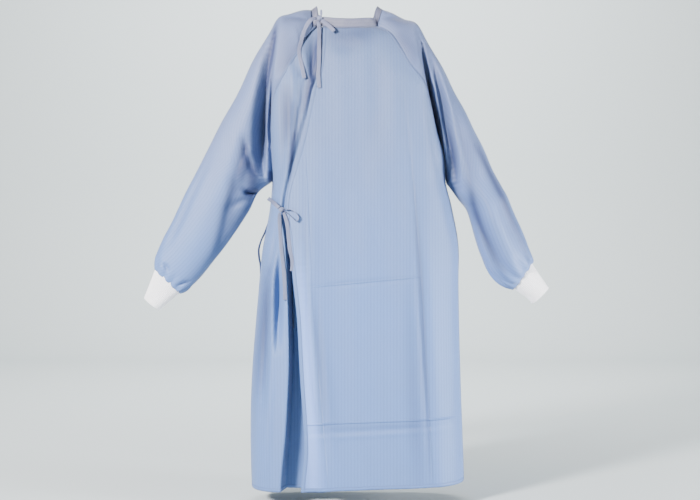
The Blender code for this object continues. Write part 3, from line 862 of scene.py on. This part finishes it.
# The folds that fall from the shoulders, beside the armhole seams, down the arms and at the cuffs
SLEEVE_RIGHT_CREASES = folds(
    (184, -60, 224, -260, 254, -430, 8, 48, 0, 0.5),
    (196, -100, 238, -265, 258, -410, 4, -11, 0, 0.55),
    (192, -50, 248, -250, 286, -470, 12, 29, 0.2, 0.6),
    (216, -110, 270, -270, 298, -470, 8, -8, 0, 0.6),
    (238, -190, 277, -330, 318, -515, 10, -5, 0, 0.6),
    (246, -220, 300, -360, 330, -490, 12, 5, -0.3, 0.5),
    (306, -460, 362, -590, 416, -700, 18, 15, -0.2, 0.5),
    (365, -430, 412, -540, 470, -650, 13, 8, 0.2, 0.5),
    (340, -430, 385, -560, 440, -680, 14, -6, 0, 0.5),
    (92, -22, 120, -14, 160, -26, 7, 5, 0, 0.5),
    front=[
        (190, -110, 222, -260, 250, -400, 8, 26, 0, 0.5),
        (215, -110, 258, -260, 290, -450, 10, 18, 0.3, 0.5),
        (240, -150, 310, -320, 380, -520, 11, -6, 0, 0.5),
        (320, -470, 365, -590, 425, -700, 14, 9, 0.2, 0.5),
    ],
)
SLEEVE_LEFT_CREASES = folds(
    (-180, -40, -215, -268, -214, -440, 13, 42, 0.35, 0.55),
    (-190, -170, -206, -280, -196, -350, 4, -8, 0, 0.55),
    (-182, -100, -195, -240, -193, -410, 4, 14, 0, 0.5),
    (-250, -300, -295, -480, -340, -650, 26, 15, -0.5, 0.45),
    (-340, -350, -410, -500, -465, -610, 8, 6.5, 0, 0.6),
    (-266, -320, -252, -380, -232, -430, 9, 11, 0.2, 0.5),
    (-240, -340, -264, -395, -282, -445, 8, -8, 0, 0.5),
    (-262, -459, -248, -466, -222, -462, 6, 24, 0.3, 0.45),
    (-300, -505, -265, -486, -240, -492, 8, 8, 0, 0.5),
    (-170, -25, -135, -18, -100, -24, 7, 4.5, 0, 0.5),
    (-476, -650, -466, -656, -458, -672, 4.5, 6, 0, 0.5),
    (-446, -708, -426, -699, -402, -696, 4.5, 8.5, 0, 0.5),
    front=[
        (-186, -70, -220, -268, -214, -425, 11, 28, 0.3, 0.5),
        (-250, -300, -310, -480, -360, -650, 16, 9, 0, 0.5),
        (-446, -700, -430, -676, -412, -655, 5, 6, 0, 0.3),
    ],
)
SLEEVE_RIPPLES = table(
    "height",
    "across down start wander",
    (1.2, 34, 22, 0.9, 6),
    (0.9, 60, -26, 2.4, 9),
)


def flat_point(sizes, name, place):
    """The x and z of one of a table's points at row positions."""
    return np.stack([read(sizes, f"{name}_{axis}", place) for axis in "xz"], axis=-1)


def seam_end(side, place):
    """Where a sleeve section starts: on the raglan seam, or on the underside below the underarm."""
    underside = UNDERSIDE_LEFT if side == "left" else UNDERSIDE_RIGHT
    raglan = flat_point(BODY, side, place)
    under = flat_point(underside, "under", place - UNDERARM)
    return np.where(np.asarray(place)[..., None] <= UNDERARM, raglan, under)


def sleeve_point(side, place, around):
    """A point of a sleeve: around runs from 0 at the back seam over the top to 1 at the front."""
    sizes = SLEEVE_LEFT if side == "left" else SLEEVE_RIGHT
    seam = seam_end(side, place)
    outer = flat_point(sizes, "outer", place)
    width = np.linalg.norm(outer - seam, axis=-1)
    direction = (outer - seam) / width[..., None]
    opening = np.radians(np.maximum(read(sizes, "opening", place), 0))
    depth = read(sizes, "depth", place)
    fold = np.maximum(read(sizes, "fold", place), 0)
    angle = opening + (2 * math.pi - 2 * opening) * around
    half = width / (1 + np.cos(opening))
    reach = half * (np.cos(opening) - np.cos(angle))
    ratio = np.maximum(reach, 0) / ARMHOLE_FOLD_REACH
    dip = fold * ratio * np.exp(1 - ratio)
    dip = np.minimum(dip, FOLD_SHARE * np.abs(depth * np.sin(angle)))
    spare = np.maximum(read(BODY, "seam_y", np.minimum(place, UNDERARM)), 0)
    spare = spare - depth * np.sin(opening)
    y = -depth * np.sin(angle) + dip * np.where(around < 0.5, 1, -1)
    y = y - spare * np.cos(math.pi * around)
    flat = seam + direction * reach[..., None]
    return np.stack([flat[..., 0], y, flat[..., 1]], axis=-1)


def sleeve_grid(side, places):
    """Points of a sleeve with its columns bunched beside the seam."""
    column = np.linspace(0, 1, SLEEVE_COLUMNS + 1)
    around = column - SLEEVE_BUNCHING * np.sin(2 * math.pi * column) / (2 * math.pi)
    place, around = np.meshgrid(places, around, indexing="ij")
    points = sleeve_point(side, place, around)
    tucked = np.clip(place - 3, 0, 1) * np.clip(9.2 - place, 0, 1)
    points[..., 0] += (-LAP if side == "left" else LAP) * tucked
    return points


def sleeve_rows(side):
    """Row positions down a sleeve, even along its outer edge and the same at the body's seam."""
    sizes = SLEEVE_LEFT if side == "left" else SLEEVE_RIGHT
    places = np.linspace(0, len(sizes["depth"]) - 1, FINE_STEPS)
    length = run_of(flat_point(sizes, "outer", places))
    return np.interp(np.arange(0, length[-1] + ROW_SPACING / 2, ROW_SPACING), length, places)


# Small pleats where each sleeve is gathered into its cuff: how many rows they take, how many
# there are, how high they stand and how much of the swell is left at the seam
GATHER_REACH = 11
GATHER_PLEATS = 13
GATHER_HEIGHT = 0.0022
GATHER_END = 0.75


def gathered(points, outward):
    """A sleeve with uneven pleats that grow over its last rows."""
    rows, columns = points.shape[:2]
    turn = np.linspace(0, 2 * math.pi, columns)
    pleat = np.sin(GATHER_PLEATS * turn + 0.8 * np.sin(3 * turn)) + 0.5 * np.sin(5 * turn + 1)
    swell = np.clip((np.arange(rows) - (rows - 1 - GATHER_REACH)) / GATHER_REACH, 0, 1)
    swell = GATHER_HEIGHT * np.sin(math.pi * GATHER_END * swell)
    return points + normals_of(points, outward) * (pleat[None, :] * swell[:, None])[..., None]


SLEEVE_LILAC = (0.175, 0.198, 0.305, 1.0)
sleeve_cloth = striped_cloth("sleeve_cloth", BLUE, SLEEVE_LILAC, STRIPE_BLUE)
SLEEVE_CREASES = {"right": SLEEVE_RIGHT_CREASES, "left": SLEEVE_LEFT_CREASES}
# Painted shade on the sleeves: beside the armhole seams, in their folds down the arms and at the
# underarms
SLEEVE_PAINTED_SHADES = {
    "right": painted_shade_lines(
        (320.2, -330, 384.7, -452, 480.1, -660, 11, 1.05),
        (302.1, -376, 331.2, -515, 403.5, -677, 9, 0.78),
        (259, -290, 275.4, -381, 276.7, -467, 9, 0.7),
        (216, -90, 282, -272, 342, -460, 36, 0.3),
        (129.7, -51, 155, -94, 195.6, -163, 24, 0.5),
        (94, -28, 126, -28, 166, -34, 16, 0.3),
    ),
    "left": painted_shade_lines(
        (-182.1, -31, -194.8, -117, -206.2, -203, 7, 1.9),
        (-194.8, -168, -204.9, -272, -211.3, -426, 11, 0.6),
        (-255.6, -325, -265.8, -386, -283.5, -447, 12, 0.75),
        (-237.9, -381, -240.4, -431, -250.6, -492, 15, 0.75),
        (-255.6, -335, -253.1, -411, -248, -492, 24, 0.3),
        (-199.9, -406, -196.1, -437, -192.3, -464, 6, 2.6),
        (-144.1, -61, -151.7, -137, -166.9, -229, 22, 0.5),
        (-262, -458, -244.5, -464, -227, -459, 7, 1.9),
        (-175, -26, -138, -22, -100, -26, 12, 0.25),
        (-301, -604, -268, -528, -240, -477, 14, 0.5),
        (-306, -411, -296, -462, -316.5, -525, 14, 0.28),
    ),
}
sleeve_points = {}
for side in ("right", "left"):
    outward = side == "left"
    grid = sleeve_grid(side, sleeve_rows(side))
    flat = flat_places(grid, 0.0)
    flat[..., 0] -= flat[:, :1, 0]
    # the sleeve's folds pressed in, with their painted shade
    folded, painted_shading = creased(grid, SLEEVE_CREASES[side], SLEEVE_PAINTED_SHADES[side])
    folded = rippled(folded, outward, SLEEVE_RIPPLES)
    folded = gathered(folded, outward)
    folded[:, 0] = grid[:, 0]
    folded[:, -1] = grid[:, -1]
    sleeve_points[side] = folded
    name = f"sleeve_{side}"
    piece = cloth_piece(
        name + "_cloth", folded, flat, CLOTH, sleeve_cloth, outward, True, painted_shading
    )
    stands_in(piece, name)


# Cuffs: white rib-knit tubes, sewn on where the gathered sleeves end.
CUFF_CLOTH = 0.0020
CUFF_COLUMNS = 384
CUFF_ROWS = 24
CUFF_TUCK = 0.35
RIBS = 48
RIB_HEIGHT = 0.0004
LOOP_HEIGHT = 0.0012
LOOP_WIDTH = 0.0013
LOOP_RELIEF = 0.0004
WHITE = (0.97, 0.96, 0.985, 1)
WHITE_SHADE = (0.90, 0.89, 0.93, 1)
CUFF_NAMES = "under_x under_z outer_x outer_z depth"
CUFFS = {
    "cuff_right": table(
        CUFF_NAMES,
        "",
        (439.3, -717.3, 479.3, -649.3, 26.5),
        (465, -735, 501, -681, 23.5),
        (483, -753, 523, -713, 23),
    ),
    "cuff_left": table(
        CUFF_NAMES,
        "",
        (-435.4, -724.9, -497.4, -664.9, 26.5),
        (-457, -742, -511, -701, 23.5),
        (-488, -770, -526, -739, 23),
    ),
}


def cuff_grid(sizes):
    """Points of a knitted cuff, all round, with its ribs."""
    places = np.linspace(-CUFF_TUCK, len(sizes["depth"]) - 1, CUFF_ROWS + 1)
    tuck = np.minimum(places, 0)[:, None, None]
    angles = np.linspace(0, 2 * math.pi, CUFF_COLUMNS + 1)
    place, angle = np.meshgrid(places, angles, indexing="ij")
    under = flat_point(sizes, "under", place)
    outer = flat_point(sizes, "outer", place)
    flat = (under + outer) / 2 + (under - outer) / 2 * np.cos(angle)[..., None]
    y = -read(sizes, "depth", place) * np.sin(angle)
    start, end = [flat_point(sizes, "under", row) + flat_point(sizes, "outer", row) for row in (0, 1)]
    length = (end - start) / 2
    points = np.stack([flat[..., 0], y, flat[..., 1]], axis=-1)
    return points + tuck * np.array([length[0], 0, length[1]])


knit = Finish("cuff_knit", Roughness=0.85, Sheen_Weight=0.3, Sheen_Roughness=0.5)
knit_across, knit_along, _ = knit.parts(knit.flat_place())
loops = knit_along.wave(LOOP_HEIGHT) * 0.5 + knit_across.wave(LOOP_WIDTH) * 0.5
knit.feed("Base Color", knit.mixed(loops * 0.25 + 0.35, WHITE, WHITE_SHADE))
knit.relief(loops, LOOP_RELIEF, 0.6)

for name, sizes in CUFFS.items():
    grid = cuff_grid(sizes)
    outward = name == "cuff_left"
    flat = flat_places(grid, 0.0)
    flat[..., 0] -= flat[:, :1, 0]
    rib = np.cos(np.linspace(0, 2 * math.pi * RIBS, CUFF_COLUMNS + 1)) * RIB_HEIGHT
    ribbed = grid + normals_of(grid, outward) * rib[None, :, None]
    ribbed[:, -1] = ribbed[:, 0]
    piece = cloth_piece(name + "_knit", ribbed, flat, CUFF_CLOTH, knit.material, outward, True)
    stands_in(piece, name)


# Seams and hems: each seam is folded flat on the body's side and held by two rows of stitches,
# and the hem and the free edge are turned in once and stitched down.
SEAM_STEPS = (0.0002, 0.0010, 0.0036, 0.0062, 0.0070)
SEAM_RISES = (0.0002, 0.0011, 0.0013, 0.0011, 0.0002)
SEAM_ROWS = (0.0014, 0.0058)
# painted shade that darkens the seam strips a little
SEAM_PAINTED_SHADE = 0.26
HEM_STEPS = (0.0004, 0.0040, 0.0086, 0.0095, 0.0100)
HEM_RISES = (0.0006, 0.0009, 0.0009, 0.0007, 0.0001)
HEM_ROW = 0.0084
# painted shade that darkens the hem and free-edge turnings a little
HEM_PAINTED_SHADE = 0.08
STITCH_PITCH = 0.0034
STITCH_LENGTH = 0.0026
STITCH_THICKNESS = 0.0006
STITCH_RISE = 0.0016
STRIP_CLOTH = 0.0006
STRIP_COLUMNS = 40
THREAD_GRAIN = 900.0
THREAD_BLUE = (0.07, 0.11, 0.25, 1)
THREAD_PALE = (0.11, 0.15, 0.30, 1)


def beside(points, outward, distances, rises):
    """Lines beside a grid's first column, at these distances over the surface and rises off it."""
    normal = normals_of(points, outward)[:, :STRIP_COLUMNS]
    points = points[:, :STRIP_COLUMNS]
    length = run_of(points, 1)
    lines = np.zeros((len(points), len(distances), 3))
    for row in range(len(points)):
        for axis in range(3):
            place = np.interp(distances, length[row], points[row, :, axis])
            lift = np.interp(distances, length[row], normal[row, :, axis])
            lines[row, :, axis] = place + lift * rises
    return lines


def thread_rule():
    """Nodes that lay one stitch at each step along a line."""
    rule = bpy.data.node_groups.new("stitch_row", "GeometryNodeTree")
    face = rule.interface
    face.new_socket("Line", in_out="INPUT", socket_type="NodeSocketGeometry")
    for name in ("Pitch", "Length", "Thickness"):
        face.new_socket(name, in_out="INPUT", socket_type="NodeSocketFloat")
    face.new_socket("Thread", in_out="INPUT", socket_type="NodeSocketMaterial")
    face.new_socket("Stitches", in_out="OUTPUT", socket_type="NodeSocketGeometry")
    nodes = {
        name: rule.nodes.new(kind)
        for name, kind in {
            "given": "NodeGroupInput",
            "made": "NodeGroupOutput",
            "curve": "GeometryNodeMeshToCurve",
            "steps": "GeometryNodeResampleCurve",
            "half": "ShaderNodeMath",
            "stitch": "GeometryNodeMeshCylinder",
            "tangent": "GeometryNodeInputTangent",
            "turn": "FunctionNodeAlignRotationToVector",
            "laid": "GeometryNodeInstanceOnPoints",
            "real": "GeometryNodeRealizeInstances",
            "finish": "GeometryNodeSetMaterial",
        }.items()
    }
    nodes["steps"].mode = "LENGTH"
    nodes["half"].operation = "MULTIPLY"
    nodes["half"].inputs[1].default_value = 0.5
    nodes["stitch"].inputs["Vertices"].default_value = 5
    nodes["turn"].axis = "Z"
    for start, output, end, socket in (
        ("given", "Line", "curve", "Mesh"),
        ("curve", "Curve", "steps", "Curve"),
        ("given", "Pitch", "steps", "Length"),
        ("given", "Thickness", "half", 0),
        ("half", 0, "stitch", "Radius"),
        ("given", "Length", "stitch", "Depth"),
        ("tangent", "Tangent", "turn", "Vector"),
        ("steps", "Curve", "laid", "Points"),
        ("stitch", "Mesh", "laid", "Instance"),
        ("turn", "Rotation", "laid", "Rotation"),
        ("laid", "Instances", "real", "Geometry"),
        ("real", "Geometry", "finish", "Geometry"),
        ("given", "Thread", "finish", "Material"),
        ("finish", "Geometry", "made", "Stitches"),
    ):
        rule.links.new(nodes[start].outputs[output], nodes[end].inputs[socket])
    return rule


stitch_row = thread_rule()
thread = Finish("sewing_thread", Roughness=0.55, Sheen_Weight=0.2)
twist = thread.noise(thread.place(), THREAD_GRAIN)
thread.feed("Base Color", thread.mixed(twist, THREAD_BLUE, THREAD_PALE))


def sewn(name, lines, thread_finish):
    """Rows of stitches along lines of points, as one mesh that rides with the gown."""
    points = np.concatenate(lines)
    starts = np.cumsum([0] + [len(line) for line in lines])
    ends = set((starts[1:] - 1).tolist())
    edges = [(step, step + 1) for step in range(len(points) - 1) if step not in ends]
    guide_mesh = bpy.data.meshes.new(name + "_guide")
    guide_mesh.from_pydata(points.tolist(), edges, [])
    guide = linked(name + "_guide", guide_mesh)
    rule = guide.modifiers.new("Stitches", "NODES")
    rule.node_group = stitch_row
    sizes = {
        "Pitch": STITCH_PITCH,
        "Length": STITCH_LENGTH,
        "Thickness": STITCH_THICKNESS,
        "Thread": thread_finish,
    }
    for item in stitch_row.interface.items_tree:
        if item.in_out == "INPUT" and item.name in sizes:
            rule[item.identifier] = sizes[item.name]
    graph = bpy.context.evaluated_depsgraph_get()
    mesh = bpy.data.meshes.new_from_object(guide.evaluated_get(graph))
    mesh.name = name
    guide.modifiers.remove(rule)
    bpy.data.objects.remove(guide, do_unlink=True)
    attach(linked(name, mesh), "root")


def laid_strip(name, points, outward, steps, rises, finish, tone):
    """A turned strip of cloth that lies on a panel beside its first column."""
    lines = beside(points, outward, steps, rises)
    flat = np.stack(np.meshgrid(run_of(lines[:, 0]), steps, indexing="ij")[::-1], axis=-1)
    # the whole strip takes the same painted shade
    painted_shading = np.full(lines.shape[:2], tone)
    piece = cloth_piece(name, lines, flat, STRIP_CLOTH, finish, outward, painted_shading=painted_shading)
    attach(piece, "root")


raglan = body_rows <= UNDERARM
sides = body_rows >= UNDERARM
# name, grid with its first column at the seam, outward
EDGES = {
    "raglan_back_right": (overlap_points[raglan][:, ::-1], True),
    "raglan_back_left": (underlap_points[raglan], False),
    "raglan_front_right": (front_points[raglan][:, ::-1], False),
    "raglan_front_left": (front_points[raglan], True),
    "side_right": (overlap_points[sides][:, ::-1], True),
    "side_left": (underlap_points[sides], False),
}
stitch_lines = []
for name, (points, outward) in EDGES.items():
    laid_strip(name + "_seam", points, outward, SEAM_STEPS, SEAM_RISES, body_cloth, SEAM_PAINTED_SHADE)
    rows = beside(points, outward, SEAM_ROWS, (STITCH_RISE, STITCH_RISE))
    stitch_lines += [rows[:, 0], rows[:, 1]]
# the free edge and the three hems, with the grid turned so that its first column is the edge
HEMS = {
    "free_edge": (overlap_points, False),
    "hem_overlap": (overlap_points[::-1].swapaxes(0, 1), False),
    "hem_underlap": (underlap_points[::-1].swapaxes(0, 1), False),
    "hem_front": (front_points[::-1].swapaxes(0, 1), True),
}
for name, (points, outward) in HEMS.items():
    laid_strip(name + "_turning", points, outward, HEM_STEPS, HEM_RISES, body_cloth, HEM_PAINTED_SHADE)
    rows = beside(points, outward, (HEM_ROW,), (STITCH_RISE,))
    stitch_lines.append(rows[:, 0])
sewn("seam_stitches", stitch_lines, thread.material)


# Neckband: a strip of the same cloth folded double, sewn round the neck with its ends left open.
# It stands on the neck seam and leans in over the shoulders.
BAND_HEIGHT = 0.024
BAND_SIDE_LOSS = 0.35
BAND_SIDE_REACH = 0.045
BAND_LEAN = 1.1
BAND_SQUARE = 0.6
BAND_EASE_REACH = 0.045
BAND_TOP_EASE_REACH = 0.028
BAND_LIFT = 0.0002
BAND_INSET = 0.0004
BAND_ROWS = 10
BAND_CLOTH = 0.0014
BAND_STITCH_RISE = 0.0010
BAND_WAVE = 0.0006
BAND_WAVES = 140


def eased(values, length, reach):
    """Values along a line, each averaged with its neighbours within a reach that ends at its ends."""
    reach = np.minimum(reach, np.minimum(length, length[-1] - length)) + 0.0001
    apart = np.abs(length[:, None] - length)
    share = np.clip(1 - apart / reach[:, None], 0, 1) * np.gradient(length)
    return share @ values / share.sum(axis=1, keepdims=True)


def neckband_rows(steps):
    """Lines round the neckband at these shares of its height."""
    first = np.zeros(1)
    stretches = [
        overlap_grid(first)[0],
        sleeve_grid("right", first)[0][1:],
        front_grid(first)[0][::-1][1:],
        sleeve_grid("left", first)[0][::-1][1:],
        underlap_grid(first)[0][1:],
    ]
    path = np.concatenate(stretches)[::2]
    length = run_of(path)
    along = np.gradient(path, axis=0)
    along /= np.linalg.norm(along, axis=1, keepdims=True)
    beside_neck = np.clip(1 - np.abs(path[:, 1]) / BAND_SIDE_REACH, 0, 1)
    up = np.zeros_like(path)
    up[:, 0] = -np.sign(path[:, 0]) * BAND_LEAN * beside_neck
    up[:, 2] = 1
    square = up - np.sum(up * along, axis=1, keepdims=True) * along
    square /= np.linalg.norm(square, axis=1, keepdims=True)
    up = eased(up + (square - up) * BAND_SQUARE, length, BAND_EASE_REACH)
    up /= np.linalg.norm(up, axis=1, keepdims=True)
    foot = path + square * BAND_LIFT
    foot[:, 0] -= np.sign(path[:, 0]) * BAND_INSET * np.clip(beside_neck * 3, 0, 1)
    height = BAND_HEIGHT * (1 - BAND_SIDE_LOSS * beside_neck)
    top = eased(foot + up * height[:, None], length, BAND_TOP_EASE_REACH)
    return np.array([foot + (top - foot) * step for step in steps]), length


band_steps = np.linspace(0, 1, BAND_ROWS + 1)
band_rows, band_length = neckband_rows(band_steps)
band_flat = np.stack(np.meshgrid(band_steps * BAND_HEIGHT, band_length, indexing="ij"), axis=-1)
band_swell = np.sin(band_steps * math.pi)[:, None] * np.sin(band_length * BAND_WAVES) * BAND_WAVE
band_rows += normals_of(band_rows, True) * band_swell[..., None]
LILAC = (0.125, 0.135, 0.200, 1.0)
PALE_LILAC = (0.150, 0.150, 0.210, 1.0)
LILAC_SHADE = (0.100, 0.110, 0.175, 1.0)
band_cloth = striped_cloth("neckband_cloth", LILAC, PALE_LILAC, LILAC_SHADE)
neckband = cloth_piece("neckband_cloth", band_rows, band_flat, BAND_CLOTH, band_cloth, True)
stands_in(neckband, "neckband")
band_lines = band_rows + normals_of(band_rows, True) * BAND_STITCH_RISE
sewn("neckband_stitches", [band_lines[1], band_lines[-2]], thread.material)


# Ties: narrow lilac tapes of the same cloth, knotted in bows at the neck and at the waist with
# their ends hanging free, and one short tape sewn to the left side at both ends.
TAPE_WIDTH = 0.0095
TAPE_CLOTH = 0.0010
TAPE_STEPS = 90
TAPE_ROWS = 8
SIDE_LOOP_TOP = -0.545
SIDE_LOOP_LOW = -0.675
SIDE_LOOP_BOW = 0.012
SIDE_LOOP_POINTS = 7
SIDE_LOOP_CLEAR = 0.0016
SIDE_LOOP_Y = -0.001
SIDE_LOOP_WIDTH_WAY = (0.4, 0.92, 0.0)
TAPE_PINCH = 0.35
TAPE_PINCH_REACH = 0.010
TAPE_EDGE_RISE = 0.0003
KNOT_GRAIN = 260.0
# how near a point of the cloth must be to carry a tape, and how many points stand for the cloth
CARRY_REACH = 0.006
CARRY_SPARE = 0.002
BODY_SAMPLES = (300, 200)
SLEEVE_SAMPLES = (160, 60)
PATH_SAMPLES = 200
# Knots in millimetres: x, z and distance in front of the cloth, and the knot's radii
NECK_KNOT = (-69.5, -22, 6.2)
NECK_KNOT_RADII = (7.5, 5.5, 7.2)
WAIST_KNOT = (-165, -512, 6.4)
WAIST_KNOT_RADII = (7.5, 5.5, 6.8)
# The short end of the neck bow that stands up from its knot, in millimetres
TUCK_RISE = (4, 0, 13)
TUCK_RADII = (3.2, 2.6, 9)
# Routes in millimetres as x, z and distance in front of the cloth, after the end at the knot
TAPE_ROUTES = {
    "neck_tie_long": [
        (-92, -29, 32),
        (-107, -52, 14),
        (-116, -84, 4),
        (-121, -112, 2),
        (-114, -147, 1.8),
        (-107, -181, 1.8),
    ],
    "neck_tie_short": [
        (-70.5, -55, 4),
        (-70, -90, 2.4),
        (-70, -137, 1.8),
        (-72, -173, 1.8),
        (-69, -206, 1.8),
    ],
    "neck_loop": [
        (-47, -43, 3.5),
        (-36, -55, 5),
        (-32, -60, 9),
        (-36, -55, 13),
        (-47, -43, 13.5),
    ],
    "waist_tie_long": [
        (-170, -545, 3),
        (-165, -609, 2),
        (-158, -674, 2),
        (-155, -740, 2),
    ],
    "waist_tie_short": [
        (-151, -545, 4),
        (-147, -579, 1.8),
        (-143, -613, 1.8),
        (-137, -642, 1.8),
        (-138, -667, 1.8),
    ],
    "waist_loop_right": [
        (-142, -513, 7),
        (-128, -521, 7),
        (-121, -532, 7),
        (-127, -541, 7),
        (-139, -531, 7),
    ],
    "waist_loop_left": [
        (-186, -494, 8),
        (-199, -484, 22),
        (-203, -481, 28),
        (-199, -484, 34),
        (-186, -494, 20),
    ],
}
# Where the ends of each tape meet the knot, in millimetres from its centre, and the tapes whose
# width has a set direction
KNOT_ENDS = {
    "neck_tie_long": [(-7.9, 0, -1)],
    "neck_tie_short": [(-4.2, 0, -8.2)],
    "neck_loop": [(5.3, -1, -6), (5.3, -5, -6)],
    "waist_tie_long": [(-4.5, 0, -7.4)],
    "waist_tie_short": [(5.6, -3, -7.4)],
    "waist_loop_right": [(7.4, -7.5, 1), (7, -7.5, -3)],
    "waist_loop_left": [(-6.2, 0.6, 4.9), (-6.2, -3.6, 4.9)],
}
WIDTH_WAYS = {
    "neck_loop": (0.75, 0.0, 0.66),
    "waist_loop_right": (0.0, 1.0, 0.0),
    "waist_loop_left": (0.62, 0.0, 0.78),
}
TAPE_LILAC = (0.118, 0.140, 0.245, 1.0)
TAPE_PALE = (0.148, 0.160, 0.255, 1.0)


def laid_on(surface, route):
    """Route points of x, z and distance in front of the cloth, as points in space."""
    points = []
    for x, z, stand in np.array(route) / 1000:
        apart = np.hypot(surface[:, 0] - x, surface[:, 2] - z)
        near = surface[apart < max(CARRY_REACH, apart.min() + CARRY_SPARE)]
        points.append((x, near[:, 1].min() - stand, z))
    return np.array(points)


def smooth_path(points, steps):
    """Points at even steps on a smooth curve through a route's own points."""
    sizes = {axis: points[:, place] for place, axis in enumerate("xyz")}
    fine = np.linspace(0, len(points) - 1, PATH_SAMPLES)
    curve = np.stack([read(sizes, axis, fine) for axis in "xyz"], axis=-1)
    length = run_of(curve)
    even = np.linspace(0, length[-1], steps)
    return np.stack([np.interp(even, length, curve[:, axis]) for axis in range(3)], axis=-1)


def make_tape(name, points, width_way):
    """A flat tape along a route, its face to the back unless its width has a set direction."""
    path = smooth_path(points, TAPE_STEPS)
    side = np.cross(np.gradient(path, axis=0), (0, -1, 0))
    if width_way is not None:
        side = np.zeros_like(path) + width_way
    side /= np.linalg.norm(side, axis=1, keepdims=True)
    length = run_of(path)
    # gathered narrow at the knot, and a little narrower and wider down its length
    width = TAPE_WIDTH * (1 - TAPE_PINCH * np.exp(-((length / TAPE_PINCH_REACH) ** 2)))
    width = width * (1 + 0.05 * np.sin(length * 90) + 0.03 * np.sin(length * 210 + 1))
    steps = np.linspace(-0.5, 0.5, TAPE_ROWS + 1)
    rows = np.array([path + side * (width * step)[:, None] for step in steps])
    # the tape is folded at both edges, so that they stand a little above its middle
    rows += normals_of(rows, True) * (np.abs(steps * 2) ** 3 * TAPE_EDGE_RISE)[:, None, None]
    flat = np.stack(np.meshgrid(steps * TAPE_WIDTH, length, indexing="ij"), axis=-1)
    piece = cloth_piece(name + "_tape", rows, flat, TAPE_CLOTH, tape_cloth, True)
    stands_in(piece, name)


def make_knot(name, lumps):
    """A tied knot: rounded lumps with the tape's turns wound over them."""
    cage = bmesh.new()
    for centre, radii in lumps:
        lump = bmesh.ops.create_uvsphere(cage, u_segments=40, v_segments=28, radius=1)["verts"]
        for vert in lump:
            place = vert.co.copy()
            turns = 0.6 * math.sin(7 * place.z + 2.2 * place.x)
            turns += math.sin(5 * place.x - 3 * place.z)
            vert.co = place * (0.97 + 0.05 * turns)
        bmesh.ops.scale(cage, vec=np.array(radii) / 1000, verts=lump)
        bmesh.ops.translate(cage, vec=centre, verts=lump)
    mesh = bpy.data.meshes.new(name + "_tape")
    cage.to_mesh(mesh)
    cage.free()
    mesh.shade_smooth()
    mesh.materials.append(knot_cloth)
    stands_in(linked(name + "_tape", mesh), name)


def outer_surface():
    """A dense set of points of the back and of both sleeves' back halves."""
    rows, columns = BODY_SAMPLES
    shape = np.linspace(0, len(BODY["roll"]) - 1, rows), np.linspace(-1, 1, columns)
    place, across = np.meshgrid(*shape, indexing="ij")
    sets = [body_point(place, across, -1).reshape(-1, 3)]
    rows, columns = SLEEVE_SAMPLES
    shape = np.linspace(0, UNDERARM, rows), np.linspace(0, 0.5, columns)
    place, around = np.meshgrid(*shape, indexing="ij")
    sets += [sleeve_point(side, place, around).reshape(-1, 3) for side in ("left", "right")]
    return np.concatenate(sets)


tape_cloth = striped_cloth("tape_cloth", TAPE_LILAC, TAPE_PALE, LILAC)
knot_finish = Finish("knot_cloth", Roughness=0.6, Sheen_Weight=0.25)
knot_cloud = knot_finish.noise(knot_finish.place(), KNOT_GRAIN)
knot_finish.feed("Base Color", knot_finish.mixed(knot_cloud, TAPE_LILAC, TAPE_PALE))
knot_finish.relief(knot_cloud, 0.0006, 0.6)
knot_cloth = knot_finish.material
back = outer_surface()
knots = {
    "neck": (laid_on(back, [NECK_KNOT])[0], NECK_KNOT_RADII),
    "waist": (laid_on(back, [WAIST_KNOT])[0], WAIST_KNOT_RADII),
}
tuck = knots["neck"][0] + np.array(TUCK_RISE) / 1000
make_knot("neck_knot", [knots["neck"], (tuck, TUCK_RADII)])
make_knot("waist_knot", [knots["waist"]])
for name, route in TAPE_ROUTES.items():
    knot = knots[name.split("_")[0]][0]
    ends = [knot + np.array(end) / 1000 for end in KNOT_ENDS[name]]
    points = np.array([ends[0], *laid_on(back, route), *ends[1:]])
    make_tape(name, points, WIDTH_WAYS.get(name))
heights = np.linspace(SIDE_LOOP_TOP, SIDE_LOOP_LOW, SIDE_LOOP_POINTS)
run = np.linspace(0, 1, SIDE_LOOP_POINTS)
edge = body_point(np.interp(-heights, -body_height(body_rows), body_rows), -1, -1)
bow = SIDE_LOOP_BOW * np.sin(run * math.pi) ** 2
x = edge[:, 0] - SIDE_LOOP_CLEAR - bow
points = np.stack([x, np.full_like(x, SIDE_LOOP_Y), heights], axis=-1)
make_tape("side_loop", points, SIDE_LOOP_WIDTH_WAY)


size = {"cad": [list(corner) for corner in cad_box], "visual": [list(c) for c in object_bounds()]}
